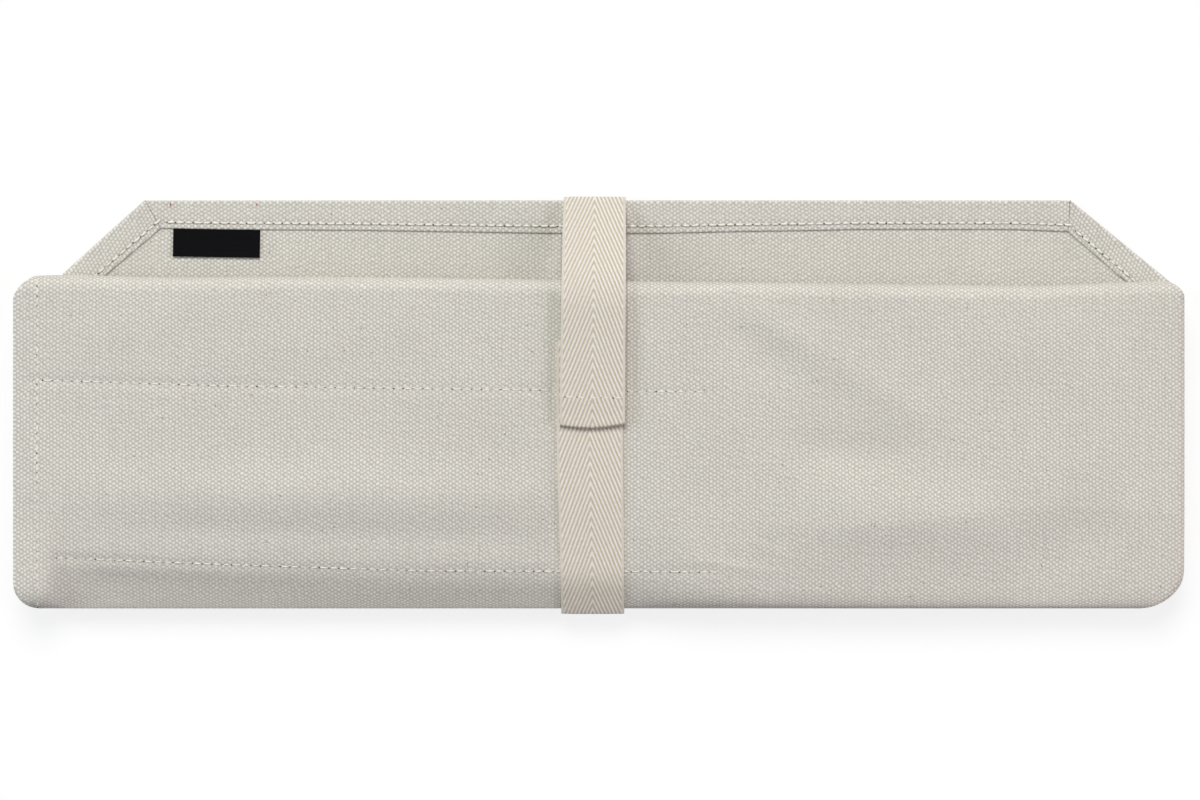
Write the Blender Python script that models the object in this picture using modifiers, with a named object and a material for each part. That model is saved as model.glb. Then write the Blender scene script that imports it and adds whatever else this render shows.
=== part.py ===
"""A knife roll of cotton duck, folded shut, with pockets, handle flaps and a tape strap.

Metres, +Z up. The roll lies on its back. +X is to the right along its long side, and +Y points at the end flap.
One canvas runs from the end flap down the back, round the bottom fold, up the front and round the top fold to
its inner end. Every layer is placed by the middle of its cloth.
"""

import math

import bmesh
import bpy
from mathutils import Matrix, Vector

# Outline of the closed roll
roll_width = 0.4688
front_depth = 0.1324
flap_reach = 0.0312
corner_bottom_left = 0.011
corner_bottom_right = 0.016
corner_top_left = 0.011
corner_top_right = 0.0065
flap_corner_left_across = 0.0528
flap_corner_left_down = 0.0475
flap_corner_right_across = 0.046
flap_corner_right_down = 0.0378

# Cloth
canvas_thickness = 0.0008
tape_thickness = 0.0009
tape_width = 0.025
patch_thickness = 0.0006
cloth_gap = 0.0003
layer_gap = 0.0004
hem_width = 0.0108
side_hem_width = 0.0094

# Strap
strap_x = -0.0024
strap_over_flap = 0.0018
strap_over_bottom = 0.0022
strap_reach = 0.06
strap_end_length = 0.035
strap_turned_hem = 0.0124
strap_patch_length = 0.02
strap_front_lap = 0.0015
strap_rise_angle = math.radians(29.0)
strap_shoulder_radius = 0.003
strap_bed_clearance = 0.0008
strap_bed_slope = 0.006

# Pockets and handle flaps
pocket_depth = 0.0044
pocket_left = 0.01
pocket_mouth_x = 0.044
front_row_rise = 0.0176
front_row_drop = 0.0438
row_pitch = 0.073
seam_flat = 0.0024
pocket_slope = 0.009
pocket_end_slope = 0.014
handle_flap_width = 0.151
inner_length = 0.058
back_pocket_drop = 0.006

# Label
label_width = 0.035
label_height = 0.0112
label_thickness = 0.0005
label_inset = 0.0632
label_turn = math.radians(-1.0)

# Modelling
overrun = 0.004
trim_slack = 0.00005
weld_distance = 0.000005
sharp_angle = math.radians(40.0)
top_pivot_share = 0.9
bend_steps = 14
slope_steps = 4
corner_steps = 8

# Sides, folds and ends along Y
half_width = roll_width / 2
overall_depth = strap_over_flap + flap_reach + front_depth + strap_over_bottom
flap_top_y = overall_depth / 2 - strap_over_flap
front_top_y = flap_top_y - flap_reach
front_bottom_y = front_top_y - front_depth

# Middle of each layer along Z, from the back up
strap_back_z = tape_thickness / 2
strap_bed = tape_thickness + cloth_gap
back_z = canvas_thickness / 2
hem_lift = canvas_thickness + cloth_gap
sewn_lift = canvas_thickness + cloth_gap
pocket_lift = canvas_thickness + pocket_depth
back_pocket_z = back_z + strap_bed + pocket_lift
inner_z = back_pocket_z + canvas_thickness + layer_gap
inner_pocket_z = inner_z + pocket_lift
front_pocket_z = inner_pocket_z + canvas_thickness + layer_gap
front_z = front_pocket_z + pocket_lift
strap_front_z = front_z + canvas_thickness / 2 + cloth_gap + tape_thickness / 2
loop_z = strap_front_z + tape_thickness / 2 + cloth_gap + patch_thickness / 2
hook_z = loop_z + patch_thickness + cloth_gap
strap_run_z = hook_z + patch_thickness / 2 + cloth_gap + tape_thickness / 2
turned_hem_z = strap_run_z - tape_thickness - cloth_gap

# Folds
fold_radius = (front_z - back_z) / 2
fold_mid_z = (front_z + back_z) / 2
fold_y = front_bottom_y + canvas_thickness / 2 + fold_radius
top_fold_radius = (front_z - inner_z) / 2
top_fold_z = (front_z + inner_z) / 2
top_fold_y = front_top_y - canvas_thickness / 2 - top_fold_radius
inner_end_y = top_fold_y - inner_length
back_right_x = half_width - canvas_thickness / 2 - (back_pocket_z - back_z) / 2

front_row_low_y = front_bottom_y + front_row_rise
front_row_high_y = front_top_y - front_row_drop
back_pocket_top_y = flap_top_y - flap_corner_left_down - back_pocket_drop

# Strap path
bend_high_z = back_z + strap_bed + hem_lift + canvas_thickness / 2 + cloth_gap + tape_thickness / 2
top_bend_radius = (bend_high_z - strap_back_z) / 2
top_bend_z = (bend_high_z + strap_back_z) / 2
top_bend_y = overall_depth / 2 - tape_thickness / 2 - top_bend_radius
bottom_bend_reach = fold_y + overall_depth / 2 - tape_thickness / 2
bottom_bend_z = (strap_front_z + strap_back_z) / 2
bottom_bend_height = (strap_front_z - strap_back_z) / 2
strap_tip_y = front_top_y - strap_reach
strap_end_y = strap_tip_y + strap_end_length
patch_low_y = strap_tip_y + strap_turned_hem + cloth_gap
patch_high_y = patch_low_y + strap_patch_length


def srgb(code):
    """A hex colour, turned to the linear values that a shader takes."""
    parts = [int(code[i : i + 2], 16) / 255 for i in (1, 3, 5)]
    linear = [p / 12.92 if p <= 0.04045 else ((p + 0.055) / 1.055) ** 2.4 for p in parts]
    return (*linear, 1.0)


COLOURS = {"canvas": "#d3cec3", "tape": "#ddd6c8", "label": "#242326", "patch": "#cfc8ba"}


def dress(obj, cloth):
    """Gives the object a material of its own."""
    material = bpy.data.materials.new(f"{obj.name}_{cloth}")
    material.use_nodes = True
    shader = material.node_tree.nodes["Principled BSDF"]
    shader.inputs["Base Color"].default_value = srgb(COLOURS[cloth])
    shader.inputs["Roughness"].default_value = 0.9
    shader.inputs["Metallic"].default_value = 0.0
    obj.data.materials.append(material)


def between(start, end, steps):
    """Evenly spaced values from start to end, both included."""
    return [start + (end - start) * i / steps for i in range(steps + 1)]


def smooth(share):
    share = min(max(share, 0.0), 1.0)
    return share * share * (3 - 2 * share)


def strap_bed_height(x):
    """How far the back's cloth lies up over the strap sewn behind it."""
    away = abs(x - strap_x) - tape_width / 2 - strap_bed_clearance
    return strap_bed * smooth(1 - away / strap_bed_slope)


def level(_x):
    """The height of cloth that lies flat, with no strap behind it."""
    return 0.0


def strap_bed_stations():
    """The places along X where the back's cloth bends over the strap."""
    inner = tape_width / 2 + strap_bed_clearance
    offsets = between(inner, inner + strap_bed_slope, slope_steps)
    return [strap_x - o for o in reversed(offsets)] + [strap_x + o for o in offsets]


def stations(start, end, extra):
    """start, end and those of the extra places that lie between them, in order."""
    low, high = min(start, end), max(start, end)
    inside = [e for e in extra if low + cloth_gap < e < high - cloth_gap]
    return sorted([start, *inside, end])


def sheet(name, cloth, us, vs, place, thickness, group):
    """A closed piece of cloth: a grid whose points place(u, v) sets, made solid on both sides."""
    mesh = bpy.data.meshes.new(name)
    grid = bmesh.new()
    bmesh.ops.create_grid(grid, x_segments=len(us) - 1, y_segments=len(vs) - 1, size=1)
    for vert in grid.verts:
        i = round((vert.co.x + 1) / 2 * (len(us) - 1))
        j = round((vert.co.y + 1) / 2 * (len(vs) - 1))
        vert.co = place(us[i], vs[j])
    grid.to_mesh(mesh)
    grid.free()
    obj = bpy.data.objects.new(name, mesh)
    group.objects.link(obj)
    dress(obj, cloth)
    mesh.shade_smooth()
    mesh.set_sharp_from_angle(angle=sharp_angle)
    solid = obj.modifiers.new("Solidify", "SOLIDIFY")
    solid.thickness = thickness
    solid.offset = 0
    solid.use_even_offset = True
    return obj


def ribbon(name, cloth, path, low, high, thickness, group, along="X"):
    """A band of cloth that follows a path of (across, up) points, from low to high along X or Y."""

    def place(u, v):
        across, up = path[v]
        return Vector((u, across, up)) if along == "X" else Vector((across, u, up))

    return sheet(name, cloth, [low, high], range(len(path)), place, thickness, group)


def arc(centre, reach, height, start, end, steps):
    """Points (across, up) on an ellipse, by angles in radians from straight down, growing towards +across."""
    return [
        (centre[0] + reach * math.sin(a), centre[1] - height * math.cos(a))
        for a in between(start, end, steps)
    ]


def rounded(corners):
    """The points of a closed outline from (x, y, radius) corners, in order round it."""
    points = []
    count = len(corners)
    for i, (x, y, radius) in enumerate(corners):
        here = Vector((x, y))
        back = (Vector(corners[i - 1][:2]) - here).normalized()
        on = (Vector(corners[(i + 1) % count][:2]) - here).normalized()
        if radius == 0:
            points.append(here)
            continue
        half = back.angle(on) / 2
        run = radius / math.tan(half)
        centre = here + (back + on).normalized() * radius / math.sin(half)
        first, last = here + back * run - centre, here + on * run - centre
        sweep = first.angle_signed(last)
        for share in between(0.0, 1.0, corner_steps):
            points.append(centre + Matrix.Rotation(-sweep * share, 2) @ first)
    return points


def prism(name, corners, low, high, group):
    """A cutter: a flat outline curve, made as deep as low to high, then turned to a mesh."""
    curve = bpy.data.curves.new(name, "CURVE")
    curve.dimensions = "2D"
    curve.fill_mode = "BOTH"
    curve.extrude = (high - low) / 2
    points = rounded(corners)
    spline = curve.splines.new("POLY")
    spline.points.add(len(points) - 1)
    for point, place in zip(spline.points, points):
        point.co = (*place, 0, 1)
    spline.use_cyclic_u = True
    flat = bpy.data.objects.new(name, curve)
    group.objects.link(flat)
    flat.location.z = (low + high) / 2
    bpy.context.view_layer.update()
    evaluated = flat.evaluated_get(bpy.context.evaluated_depsgraph_get())
    mesh = bpy.data.meshes.new_from_object(evaluated)
    welded = bmesh.new()
    welded.from_mesh(mesh)
    bmesh.ops.remove_doubles(welded, verts=welded.verts, dist=weld_distance)
    welded.to_mesh(mesh)
    welded.free()
    cutter = bpy.data.objects.new(name, mesh)
    cutter.matrix_world = flat.matrix_world
    group.objects.link(cutter)
    bpy.data.objects.remove(flat)
    cutter.hide_render = True
    cutter.display_type = "WIRE"
    return cutter


def trim(obj, cutter):
    """Keeps only what lies inside the cutter."""
    cut = obj.modifiers.new("Trim", "BOOLEAN")
    cut.operation = "INTERSECT"
    cut.solver = "EXACT"
    cut.object = cutter


def front_corners():
    """The closed roll's outline without its flap, a hair wider than its folds so that they are left whole."""
    right, low, high = half_width + trim_slack, front_bottom_y - trim_slack, front_top_y + trim_slack
    return [
        (-half_width, low, corner_bottom_left),
        (right, low, corner_bottom_right),
        (right, high, corner_top_right),
        (-half_width, high, corner_top_left),
    ]


def flap_corners():
    """Corners of the back's hemmed edge, from its foot on the left, over the flap, to its right side."""
    return [
        (-half_width, fold_y),
        (-half_width, flap_top_y - flap_corner_left_down),
        (-half_width + flap_corner_left_across, flap_top_y),
        (half_width - flap_corner_right_across, flap_top_y),
        (half_width, flap_top_y - flap_corner_right_down),
    ]


def back_corners():
    right, low = half_width + trim_slack, front_bottom_y - trim_slack
    hemmed = [(x, y, 0) for x, y in flap_corners()[1:4]]
    return [
        (-half_width, low, corner_bottom_left),
        (right, low, corner_bottom_right),
        (right, flap_top_y - flap_corner_right_down, 0),
        *reversed(hemmed),
    ]


def canvases(part, cutters):
    """The one outer canvas, as its back, folds, front and inner end."""
    body_top = strap_run_z + overrun
    back_shape = prism("back_outline", back_corners(), -overrun, body_top, cutters)
    front_shape = prism("front_outline", front_corners(), -overrun, body_top, cutters)
    left = -half_width - overrun
    made = {}

    def canvas(name, right, ends, height, cutter):
        xs = stations(left, right, strap_bed_stations())
        piece = sheet(name, "canvas", xs, list(ends), height, canvas_thickness, part)
        trim(piece, cutter)
        made[name] = piece

    right = half_width - canvas_thickness / 2 - (front_z - front_pocket_z) / 2
    canvas(
        "back_canvas",
        back_right_x,
        (fold_y + cloth_gap, flap_top_y + overrun),
        lambda x, y: Vector((x, y, back_z + strap_bed_height(x))),
        back_shape,
    )
    canvas(
        "front_canvas",
        right,
        (fold_y + cloth_gap, top_fold_y - cloth_gap),
        lambda x, y: Vector((x, y, front_z)),
        front_shape,
    )
    canvas(
        "inner_canvas",
        right,
        (inner_end_y, top_fold_y - cloth_gap),
        lambda x, y: Vector((x, y, inner_z)),
        front_shape,
    )

    def round_bottom(x, a):
        lift = strap_bed_height(x) * (1 + math.cos(a)) / 2
        return Vector((x, fold_y - fold_radius * math.sin(a), fold_mid_z - fold_radius * math.cos(a) + lift))

    canvas("bottom_fold", right, between(0.0, math.pi, bend_steps), round_bottom, front_shape)

    def round_top(x, a):
        return Vector((x, top_fold_y + top_fold_radius * math.sin(a), top_fold_z + top_fold_radius * math.cos(a)))

    canvas("top_fold", right, between(0.0, math.pi, bend_steps), round_top, front_shape)
    return made, front_shape


def mitre(corner, before, after, width):
    """The inner corner of a hem of the given width where two edges meet."""
    first = (corner - before).normalized()
    second = (after - corner).normalized()
    inward = Vector((first.y, -first.x)), Vector((second.y, -second.x))
    return corner + (inward[0] + inward[1]) * width / (1 + inward[0].dot(inward[1]))


def back_hems(part):
    """The turned edge of the back and its flap, mitred at each corner."""
    corners = [Vector(c) for c in flap_corners()]
    corners[0].y += cloth_gap
    corners[-1] = corners[-2].lerp(corners[-1], (back_right_x - corners[-2].x) / (corners[-1].x - corners[-2].x))
    names = ["back_side_hem", "flap_hem_left", "flap_hem_top", "flap_hem_right"]
    widths = [side_hem_width, side_hem_width, hem_width, side_hem_width]
    made = {}
    for i, name in enumerate(names):
        start, end, width = corners[i], corners[i + 1], widths[i]
        run = (end - start).normalized()
        inward = Vector((run.y, -run.x))
        inner_start = start + inward * width
        inner_end = end + inward * width
        if i > 0:
            joint = mitre(start, corners[i - 1], end, 1.0) - start
            inner_start = start + joint * width
        if i < len(names) - 1:
            joint = mitre(end, start, corners[i + 2], 1.0) - end
            inner_end = end + joint * width
        slack = run * cloth_gap
        outer = (start + slack, end - slack)
        inner = (inner_start + slack, inner_end - slack)
        shares = [0.0, 1.0]
        if name == "flap_hem_top":
            span = end.x - start.x
            shares = [(x - start.x) / span for x in stations(start.x, end.x, strap_bed_stations())]

        def place(u, v):
            flat = outer[0].lerp(outer[1], u).lerp(inner[0].lerp(inner[1], u), v)
            return Vector((flat.x, flat.y, back_z + hem_lift + strap_bed_height(flat.x)))

        made[name] = sheet(name, "canvas", shares, [0.0, 1.0], place, canvas_thickness, part)
    return made


def side_hem(name, low, high, z, part, front_shape):
    piece = ribbon(
        name,
        "canvas",
        [(-half_width - overrun, z), (-half_width + side_hem_width, z)],
        low,
        high,
        canvas_thickness,
        part,
        along="Y",
    )
    trim(piece, front_shape)
    return piece


def inner_end_hem(part):
    """The turned end of the canvas, inside the roll."""
    z = inner_z + hem_lift
    path = [(inner_end_y, z), (inner_end_y + hem_width, z)]
    high = half_width - canvas_thickness / 2 - (inner_pocket_z - inner_z) - cloth_gap
    return ribbon("inner_end_hem", "canvas", path, -half_width, high, canvas_thickness, part)


def pocket(name, rows, cloth_z, lifted_z, bed, part):
    """A pocket panel sewn down along rows and at its left end, and open at its mouth on the right.

    rows are the (low, high) of each pocket between its seams. bed(x) is the height of the canvas there.
    """
    side = 1 if lifted_z > cloth_z else -1
    start = -half_width + pocket_left
    xs = [start, *between(start + seam_flat, start + seam_flat + pocket_end_slope, slope_steps)]
    xs = stations(xs[0], pocket_mouth_x, xs[1:] + strap_bed_stations())
    ys = []
    for low, high in rows:
        foot, head = low + seam_flat / 2, high - seam_flat / 2
        ys += [low, *between(foot, foot + pocket_slope, slope_steps)]
        ys += between(head - pocket_slope, head, slope_steps)
    ys.append(rows[-1][1])

    def place(x, y):
        low, high = next(r for r in reversed(rows) if y >= r[0] - trim_slack)
        edge = min(y - low, high - y) - seam_flat / 2
        puff = smooth(edge / pocket_slope) * smooth((x - start - seam_flat) / pocket_end_slope)
        sewn = cloth_z + side * sewn_lift + bed(x)
        return Vector((x, y, sewn + (lifted_z - sewn) * puff))

    return sheet(name, "canvas", xs, ys, place, canvas_thickness, part)


def pockets(part):
    pitch_left = row_pitch - (front_row_low_y - fold_y) - math.pi * fold_radius
    back_row_y = fold_y + pitch_left
    pitch_left = row_pitch - (top_fold_y - front_row_high_y) - math.pi * top_fold_radius
    inner_row_y = top_fold_y - pitch_left
    rows = {
        "back_pocket": [(fold_y + cloth_gap, back_row_y), (back_row_y, back_pocket_top_y)],
        "front_pocket": [(front_row_low_y, front_row_high_y), (front_row_high_y, top_fold_y - cloth_gap)],
        "inner_pocket": [(inner_end_y + hem_width + cloth_gap, inner_row_y)],
    }
    return {
        "back_pocket": pocket(
            "back_pocket", rows["back_pocket"], back_z, back_pocket_z, strap_bed_height, part
        ),
        "front_pocket": pocket("front_pocket", rows["front_pocket"], front_z, front_pocket_z, level, part),
        "inner_pocket": pocket("inner_pocket", rows["inner_pocket"], inner_z, inner_pocket_z, level, part),
    }


def handle_flap(name, cloth_z, lifted_z, low, high, part, cutter):
    """The canvas folded in at the right edge, as one band with its bend."""
    radius = (lifted_z - cloth_z) / 2
    centre_x = half_width - canvas_thickness / 2 - abs(radius)
    bend = arc((centre_x, (cloth_z + lifted_z) / 2), abs(radius), radius, 0.0, math.pi, bend_steps)
    path = [(centre_x + cloth_gap, cloth_z), *bend[1:], (half_width - handle_flap_width, lifted_z)]
    piece = ribbon(name, "canvas", path, low, high, canvas_thickness, part, along="Y")
    if cutter:
        trim(piece, cutter)
    return piece


def label(part):
    """The blank woven label, its top edge against the flap's hem."""
    top = flap_top_y - hem_width - label_thickness - cloth_gap / 2
    middle_x = -half_width + label_inset + label_width / 2
    z = back_z + canvas_thickness / 2 + cloth_gap + label_thickness / 2
    turn = Matrix.Rotation(label_turn, 4, "Z")
    hinge = Vector((middle_x, top, z))

    def place(x, y):
        return hinge + turn @ Vector((x, y, 0))

    piece = sheet(
        "blank_label",
        "label",
        [-label_width / 2, label_width / 2],
        [-label_height, -label_width * math.sin(abs(label_turn)) / 2],
        place,
        label_thickness,
        part,
    )
    return piece, (top, z)


def strap_parts(part):
    """The tape, from the bottom fold round the back and over the flap's edge to its turned end on the front."""
    left, right = strap_x - tape_width / 2, strap_x + tape_width / 2

    def tape(name, path):
        return ribbon(name, "tape", path, left, right, tape_thickness, part)

    turn = math.pi - strap_rise_angle
    bend = arc((top_bend_y, top_bend_z), top_bend_radius, top_bend_radius, 0.0, turn, bend_steps)
    foot = Vector(bend[-1])
    climb = Vector((-math.cos(strap_rise_angle), math.sin(strap_rise_angle)))
    corner = foot + climb * (strap_run_z - foot.y) / climb.y
    run_in = strap_shoulder_radius * math.tan(strap_rise_angle / 2)
    rise_top = corner - climb * run_in
    centre = (corner.x - run_in, strap_run_z - strap_shoulder_radius)
    shoulder = arc(
        centre, strap_shoulder_radius, strap_shoulder_radius, math.pi - strap_rise_angle, math.pi, slope_steps
    )
    turned_z = (strap_run_z + turned_hem_z) / 2
    turned_radius = (strap_run_z - turned_hem_z) / 2
    tip_y = strap_tip_y + tape_thickness / 2 + turned_radius
    tip = arc((tip_y, turned_z), -turned_radius, -turned_radius, 0.0, math.pi, slope_steps)
    bottom = arc(
        (fold_y, bottom_bend_z), -bottom_bend_reach, bottom_bend_height, 0.0, math.pi, bend_steps
    )
    back_end = fold_y + cloth_gap
    front_end = patch_high_y + strap_front_lap
    made = {
        "strap_back": tape("strap_back", [(back_end, strap_back_z), (top_bend_y - cloth_gap, strap_back_z)]),
        "strap_top_bend": tape("strap_top_bend", bend),
        "strap_rise": tape("strap_rise", [foot + climb * cloth_gap, rise_top]),
        "strap_run": tape(
            "strap_run",
            [Vector(shoulder[0]) + climb * cloth_gap, *shoulder[1:], (strap_end_y + cloth_gap, strap_run_z)],
        ),
        "strap_end": tape(
            "strap_end",
            [(strap_end_y, strap_run_z), *tip, (strap_tip_y + strap_turned_hem, turned_hem_z)],
        ),
        "strap_bottom_bend": tape("strap_bottom_bend", bottom),
        "strap_front": tape("strap_front", [(back_end, strap_front_z), (front_end, strap_front_z)]),
    }
    for name, z in (("hook_patch", hook_z), ("loop_patch", loop_z)):
        path = [(patch_low_y, z), (patch_high_y, z)]
        made[name] = ribbon(
            name, "patch", path, left + cloth_gap, right - cloth_gap, patch_thickness, part
        )
    flat_foot = Vector((top_bend_y + top_bend_radius * turn, strap_back_z))
    lift_axis = turning_point(foot, flat_foot, -turn)
    unbent = Vector(shoulder[0]) + climb * strap_shoulder_radius * strap_rise_angle
    straighten_axis = turning_point(Vector(shoulder[-1]), unbent, -strap_rise_angle)
    peel_axis = Vector((strap_end_y + cloth_gap / 2, strap_run_z + tape_thickness / 2))
    return made, lift_axis, straighten_axis, peel_axis


def turning_point(start, end, angle):
    """The point (across, up) about which a turn by angle carries start to end."""
    turn = Matrix.Rotation(angle, 2)
    return (Matrix.Identity(2) - turn).inverted() @ (end - turn @ start)


def axis_empty(name, place, parent, group):
    """An empty on a joint's axis, which its pieces are parented to."""
    empty = bpy.data.objects.new(name, None)
    empty.empty_display_size = tape_width
    group.objects.link(empty)
    empty.location = (0, *place)
    bpy.context.view_layer.update()
    if parent:
        hang(empty, parent)
    return empty


def hang(child, parent):
    """Parents child without moving it."""
    bpy.context.view_layer.update()
    child.parent = parent
    child.matrix_parent_inverse = parent.matrix_world.inverted()


def main():
    for obj in list(bpy.data.objects):
        bpy.data.objects.remove(obj)
    part = bpy.data.collections.new("Knife roll")
    cutters = bpy.data.collections.new("Cutters")
    for group in (part, cutters):
        bpy.context.scene.collection.children.link(group)
    made, front_shape = canvases(part, cutters)
    made.update(back_hems(part))
    front_hem_z, inner_hem_z = front_z - hem_lift, inner_z + hem_lift
    made["front_side_hem"] = side_hem(
        "front_side_hem", fold_y + cloth_gap, top_fold_y - cloth_gap, front_hem_z, part, front_shape
    )
    made["inner_side_hem"] = side_hem(
        "inner_side_hem",
        inner_end_y + hem_width + cloth_gap,
        top_fold_y - cloth_gap,
        inner_hem_z,
        part,
        front_shape,
    )
    made["inner_end_hem"] = inner_end_hem(part)
    made.update(pockets(part))
    back_top = flap_top_y - flap_corner_right_down - hem_width
    low, high = fold_y + cloth_gap, top_fold_y - cloth_gap
    flaps = (
        ("back_handle_flap", back_z, back_pocket_z, low, back_top),
        ("front_handle_flap", front_z, front_pocket_z, low, high),
        ("inner_handle_flap", inner_z, inner_pocket_z, inner_end_y, high),
    )
    for name, cloth_z, lifted_z, flap_low, flap_high in flaps:
        made[name] = handle_flap(name, cloth_z, lifted_z, flap_low, flap_high, part, front_shape)
    made["blank_label"], label_axis = label(part)
    tapes, lift_axis, straighten_axis, peel_axis = strap_parts(part)
    made.update(tapes)

    quarter = math.pi * fold_radius / 4
    step = loop_z + patch_thickness / 2 - front_z - canvas_thickness / 2
    axes = {
        "edge_axis": ((fold_y - quarter, fold_mid_z - quarter + step / 2), None),
        "front_axis": ((fold_y - quarter, fold_mid_z + quarter + step / 2), "edge_axis"),
        "inner_axis": ((top_fold_y + top_pivot_share * top_fold_radius, top_fold_z), "front_axis"),
        "strap_lift_axis": (tuple(lift_axis), None),
        "strap_straighten_axis": (tuple(straighten_axis), "strap_lift_axis"),
        "strap_peel_axis": (tuple(peel_axis), "strap_straighten_axis"),
        "label_axis": (label_axis, None),
    }
    empties = {}
    for name, (place, parent) in axes.items():
        empties[name] = axis_empty(name, place, empties.get(parent), part)
        print(name, [round(p, 6) for p in place])
    carried = {
        "edge_axis": ["bottom_fold", "strap_bottom_bend"],
        "front_axis": [
            "front_canvas",
            "front_side_hem",
            "front_pocket",
            "front_handle_flap",
            "strap_front",
            "loop_patch",
            "top_fold",
        ],
        "inner_axis": [
            "inner_canvas",
            "inner_side_hem",
            "inner_end_hem",
            "inner_pocket",
            "inner_handle_flap",
        ],
        "strap_lift_axis": ["strap_rise"],
        "strap_straighten_axis": ["strap_run"],
        "strap_peel_axis": ["strap_end", "hook_patch"],
        "label_axis": ["blank_label"],
    }
    for name, pieces in carried.items():
        for piece in pieces:
            hang(made[piece], empties[name])


main()
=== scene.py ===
"""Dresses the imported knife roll: cotton duck, herringbone tape, stitches, patches and a blank label."""

import math
from functools import partial

import bmesh
import bpy
import numpy as np
from bpy.props import FloatProperty, FloatVectorProperty
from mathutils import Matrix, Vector


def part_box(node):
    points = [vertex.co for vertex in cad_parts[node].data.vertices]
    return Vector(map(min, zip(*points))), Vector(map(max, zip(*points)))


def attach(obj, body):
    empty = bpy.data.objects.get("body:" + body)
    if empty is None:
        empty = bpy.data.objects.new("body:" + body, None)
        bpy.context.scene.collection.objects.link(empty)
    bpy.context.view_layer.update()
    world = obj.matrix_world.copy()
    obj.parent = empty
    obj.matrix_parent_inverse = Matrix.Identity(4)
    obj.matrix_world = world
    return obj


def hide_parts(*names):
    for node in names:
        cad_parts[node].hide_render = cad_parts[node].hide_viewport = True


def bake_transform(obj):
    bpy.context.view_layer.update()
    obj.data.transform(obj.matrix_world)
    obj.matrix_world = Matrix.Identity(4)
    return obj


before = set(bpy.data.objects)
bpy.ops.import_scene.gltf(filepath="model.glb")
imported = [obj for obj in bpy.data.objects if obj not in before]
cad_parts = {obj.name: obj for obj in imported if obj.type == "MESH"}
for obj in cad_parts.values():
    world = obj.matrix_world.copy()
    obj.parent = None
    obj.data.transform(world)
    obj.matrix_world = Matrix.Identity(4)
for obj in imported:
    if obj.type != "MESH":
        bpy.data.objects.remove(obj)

bl_info = {
    "name": "Knife Roll",
    "version": (1, 0, 0),
    "blender": (4, 5, 0),
    "location": "View3D > Sidebar > Knife Roll",
    "description": "Dresses the packed knife roll in canvas, tape, patches, stitches and a blank label",
    "category": "Object",
}

MM = 0.001  # every length below is in millimetres unless it says otherwise


def low(node):
    return np.array(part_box(node)[0]) / MM


def high(node):
    return np.array(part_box(node)[1]) / MM


def middle(node):
    return (low(node) + high(node)) / 2


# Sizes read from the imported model
CLOTH = 0.8
HALF = CLOTH / 2
TAPE = 0.9
CAD_GAP = 0.3
HALF_WIDTH = -low("front_canvas")[0]
FRONT_Z = middle("front_canvas")[2]
INNER_Z = middle("inner_canvas")[2]
BACK_Z = HALF
FOLD_Y = low("front_canvas")[1] - CAD_GAP
INNER_END_Y = low("inner_canvas")[1]
FLAP_TOP_Y = high("back_canvas")[1] + CAD_GAP
FRONT_POCKET_Z = low("front_pocket")[2] + HALF
INNER_POCKET_Z = high("inner_pocket")[2] - HALF
BACK_POCKET_Z = high("back_pocket")[2] - HALF
FOLD_R = (FRONT_Z - BACK_Z) / 2
FOLD_MID_Z = (FRONT_Z + BACK_Z) / 2
TOP_R = (FRONT_Z - INNER_Z) / 2
TOP_MID_Z = (FRONT_Z + INNER_Z) / 2
SIDE_FOLD_R = (FRONT_Z - FRONT_POCKET_Z) / 2
TAPE_HALF = (high("strap_front")[0] - low("strap_front")[0]) / 2
STRAP_X = middle("strap_front")[0]
STRAP_BED = 1.2  # the back lies this far up over the tape sewn behind it
LABEL_X = middle("blank_label")[0]
LABEL_HALF, LABEL_DROP, LABEL_CLOTH, LABEL_TILT = 17.5, 11.2, 0.3, math.radians(-1.0)
HEM_R = 0.55  # a hem turns over on itself this tightly
HEM_LIFT = 2 * HEM_R  # and lies this far over the middle of the cloth under it, as a sewn pocket panel does
HEM_WIDTH = 10.8
EDGE_ROLL = (30, 60, 85)  # the angles at which an edge that rolls under is drawn
SIDE_HEM_WIDTH = 9.4
CORNER_BL, CORNER_BR, CORNER_TL, CORNER_TR = 10.5, 16.0, 8.8, 6.5

# The back's hemmed edge in (x, y), from the bottom left round to the right: its outline, and its hems' inner corners
FLAP_OUTLINE = np.array([
    (-HALF_WIDTH, FOLD_Y), (-HALF_WIDTH, 35.9), (-182.7, FLAP_TOP_Y), (189.4, FLAP_TOP_Y), (HALF_WIDTH, 45.6),
])
FLAP_INNER = np.array([
    (-HALF_WIDTH + SIDE_HEM_WIDTH, FOLD_Y), (-HALF_WIDTH + SIDE_HEM_WIDTH, 30.0), (-176.3, 71.3), (188.8, 69.8),
    (HALF_WIDTH - 7.3, 37.0),
])
TOP_SIDE = 2
TOP_HEM_LINE = [
    (-176.3, 71.3), (-150.0, 70.8), (-92.0, 70.4), (-49.0, 69.7), (-20.0, 69.2), (24.0, 69.2), (56.0, 70.0),
    (88.0, 70.4), (104.0, 70.8), (168.0, 70.8), (188.8, 69.8),
]
HEM_ROW_IN = 2.2  # the hems' rows of stitches stand this far in from the hems' inner edges
HANDLE_FLAP_X = HALF_WIDTH - 151.0
POCKET_LEFT_X = -HALF_WIDTH + 10.0
POCKET_MOUTH_X = 44.0
FRONT_POCKET_SEAMS = (-64.0, 7.0)

# The front's top edge as it lies, in (x, y)
TOP_EDGE = [
    (-234.4, 51.2), (-220.6, 52.4), (-171.6, 51.0), (-139.6, 51.6), (-87.6, 51.2), (-15.6, 50.2), (10.8, 49.6),
    (72.4, 49.0), (140.0, 48.1), (176.4, 47.6), (208.4, 49.2), (226.4, 49.8), (234.4, 49.8),
]

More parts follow.
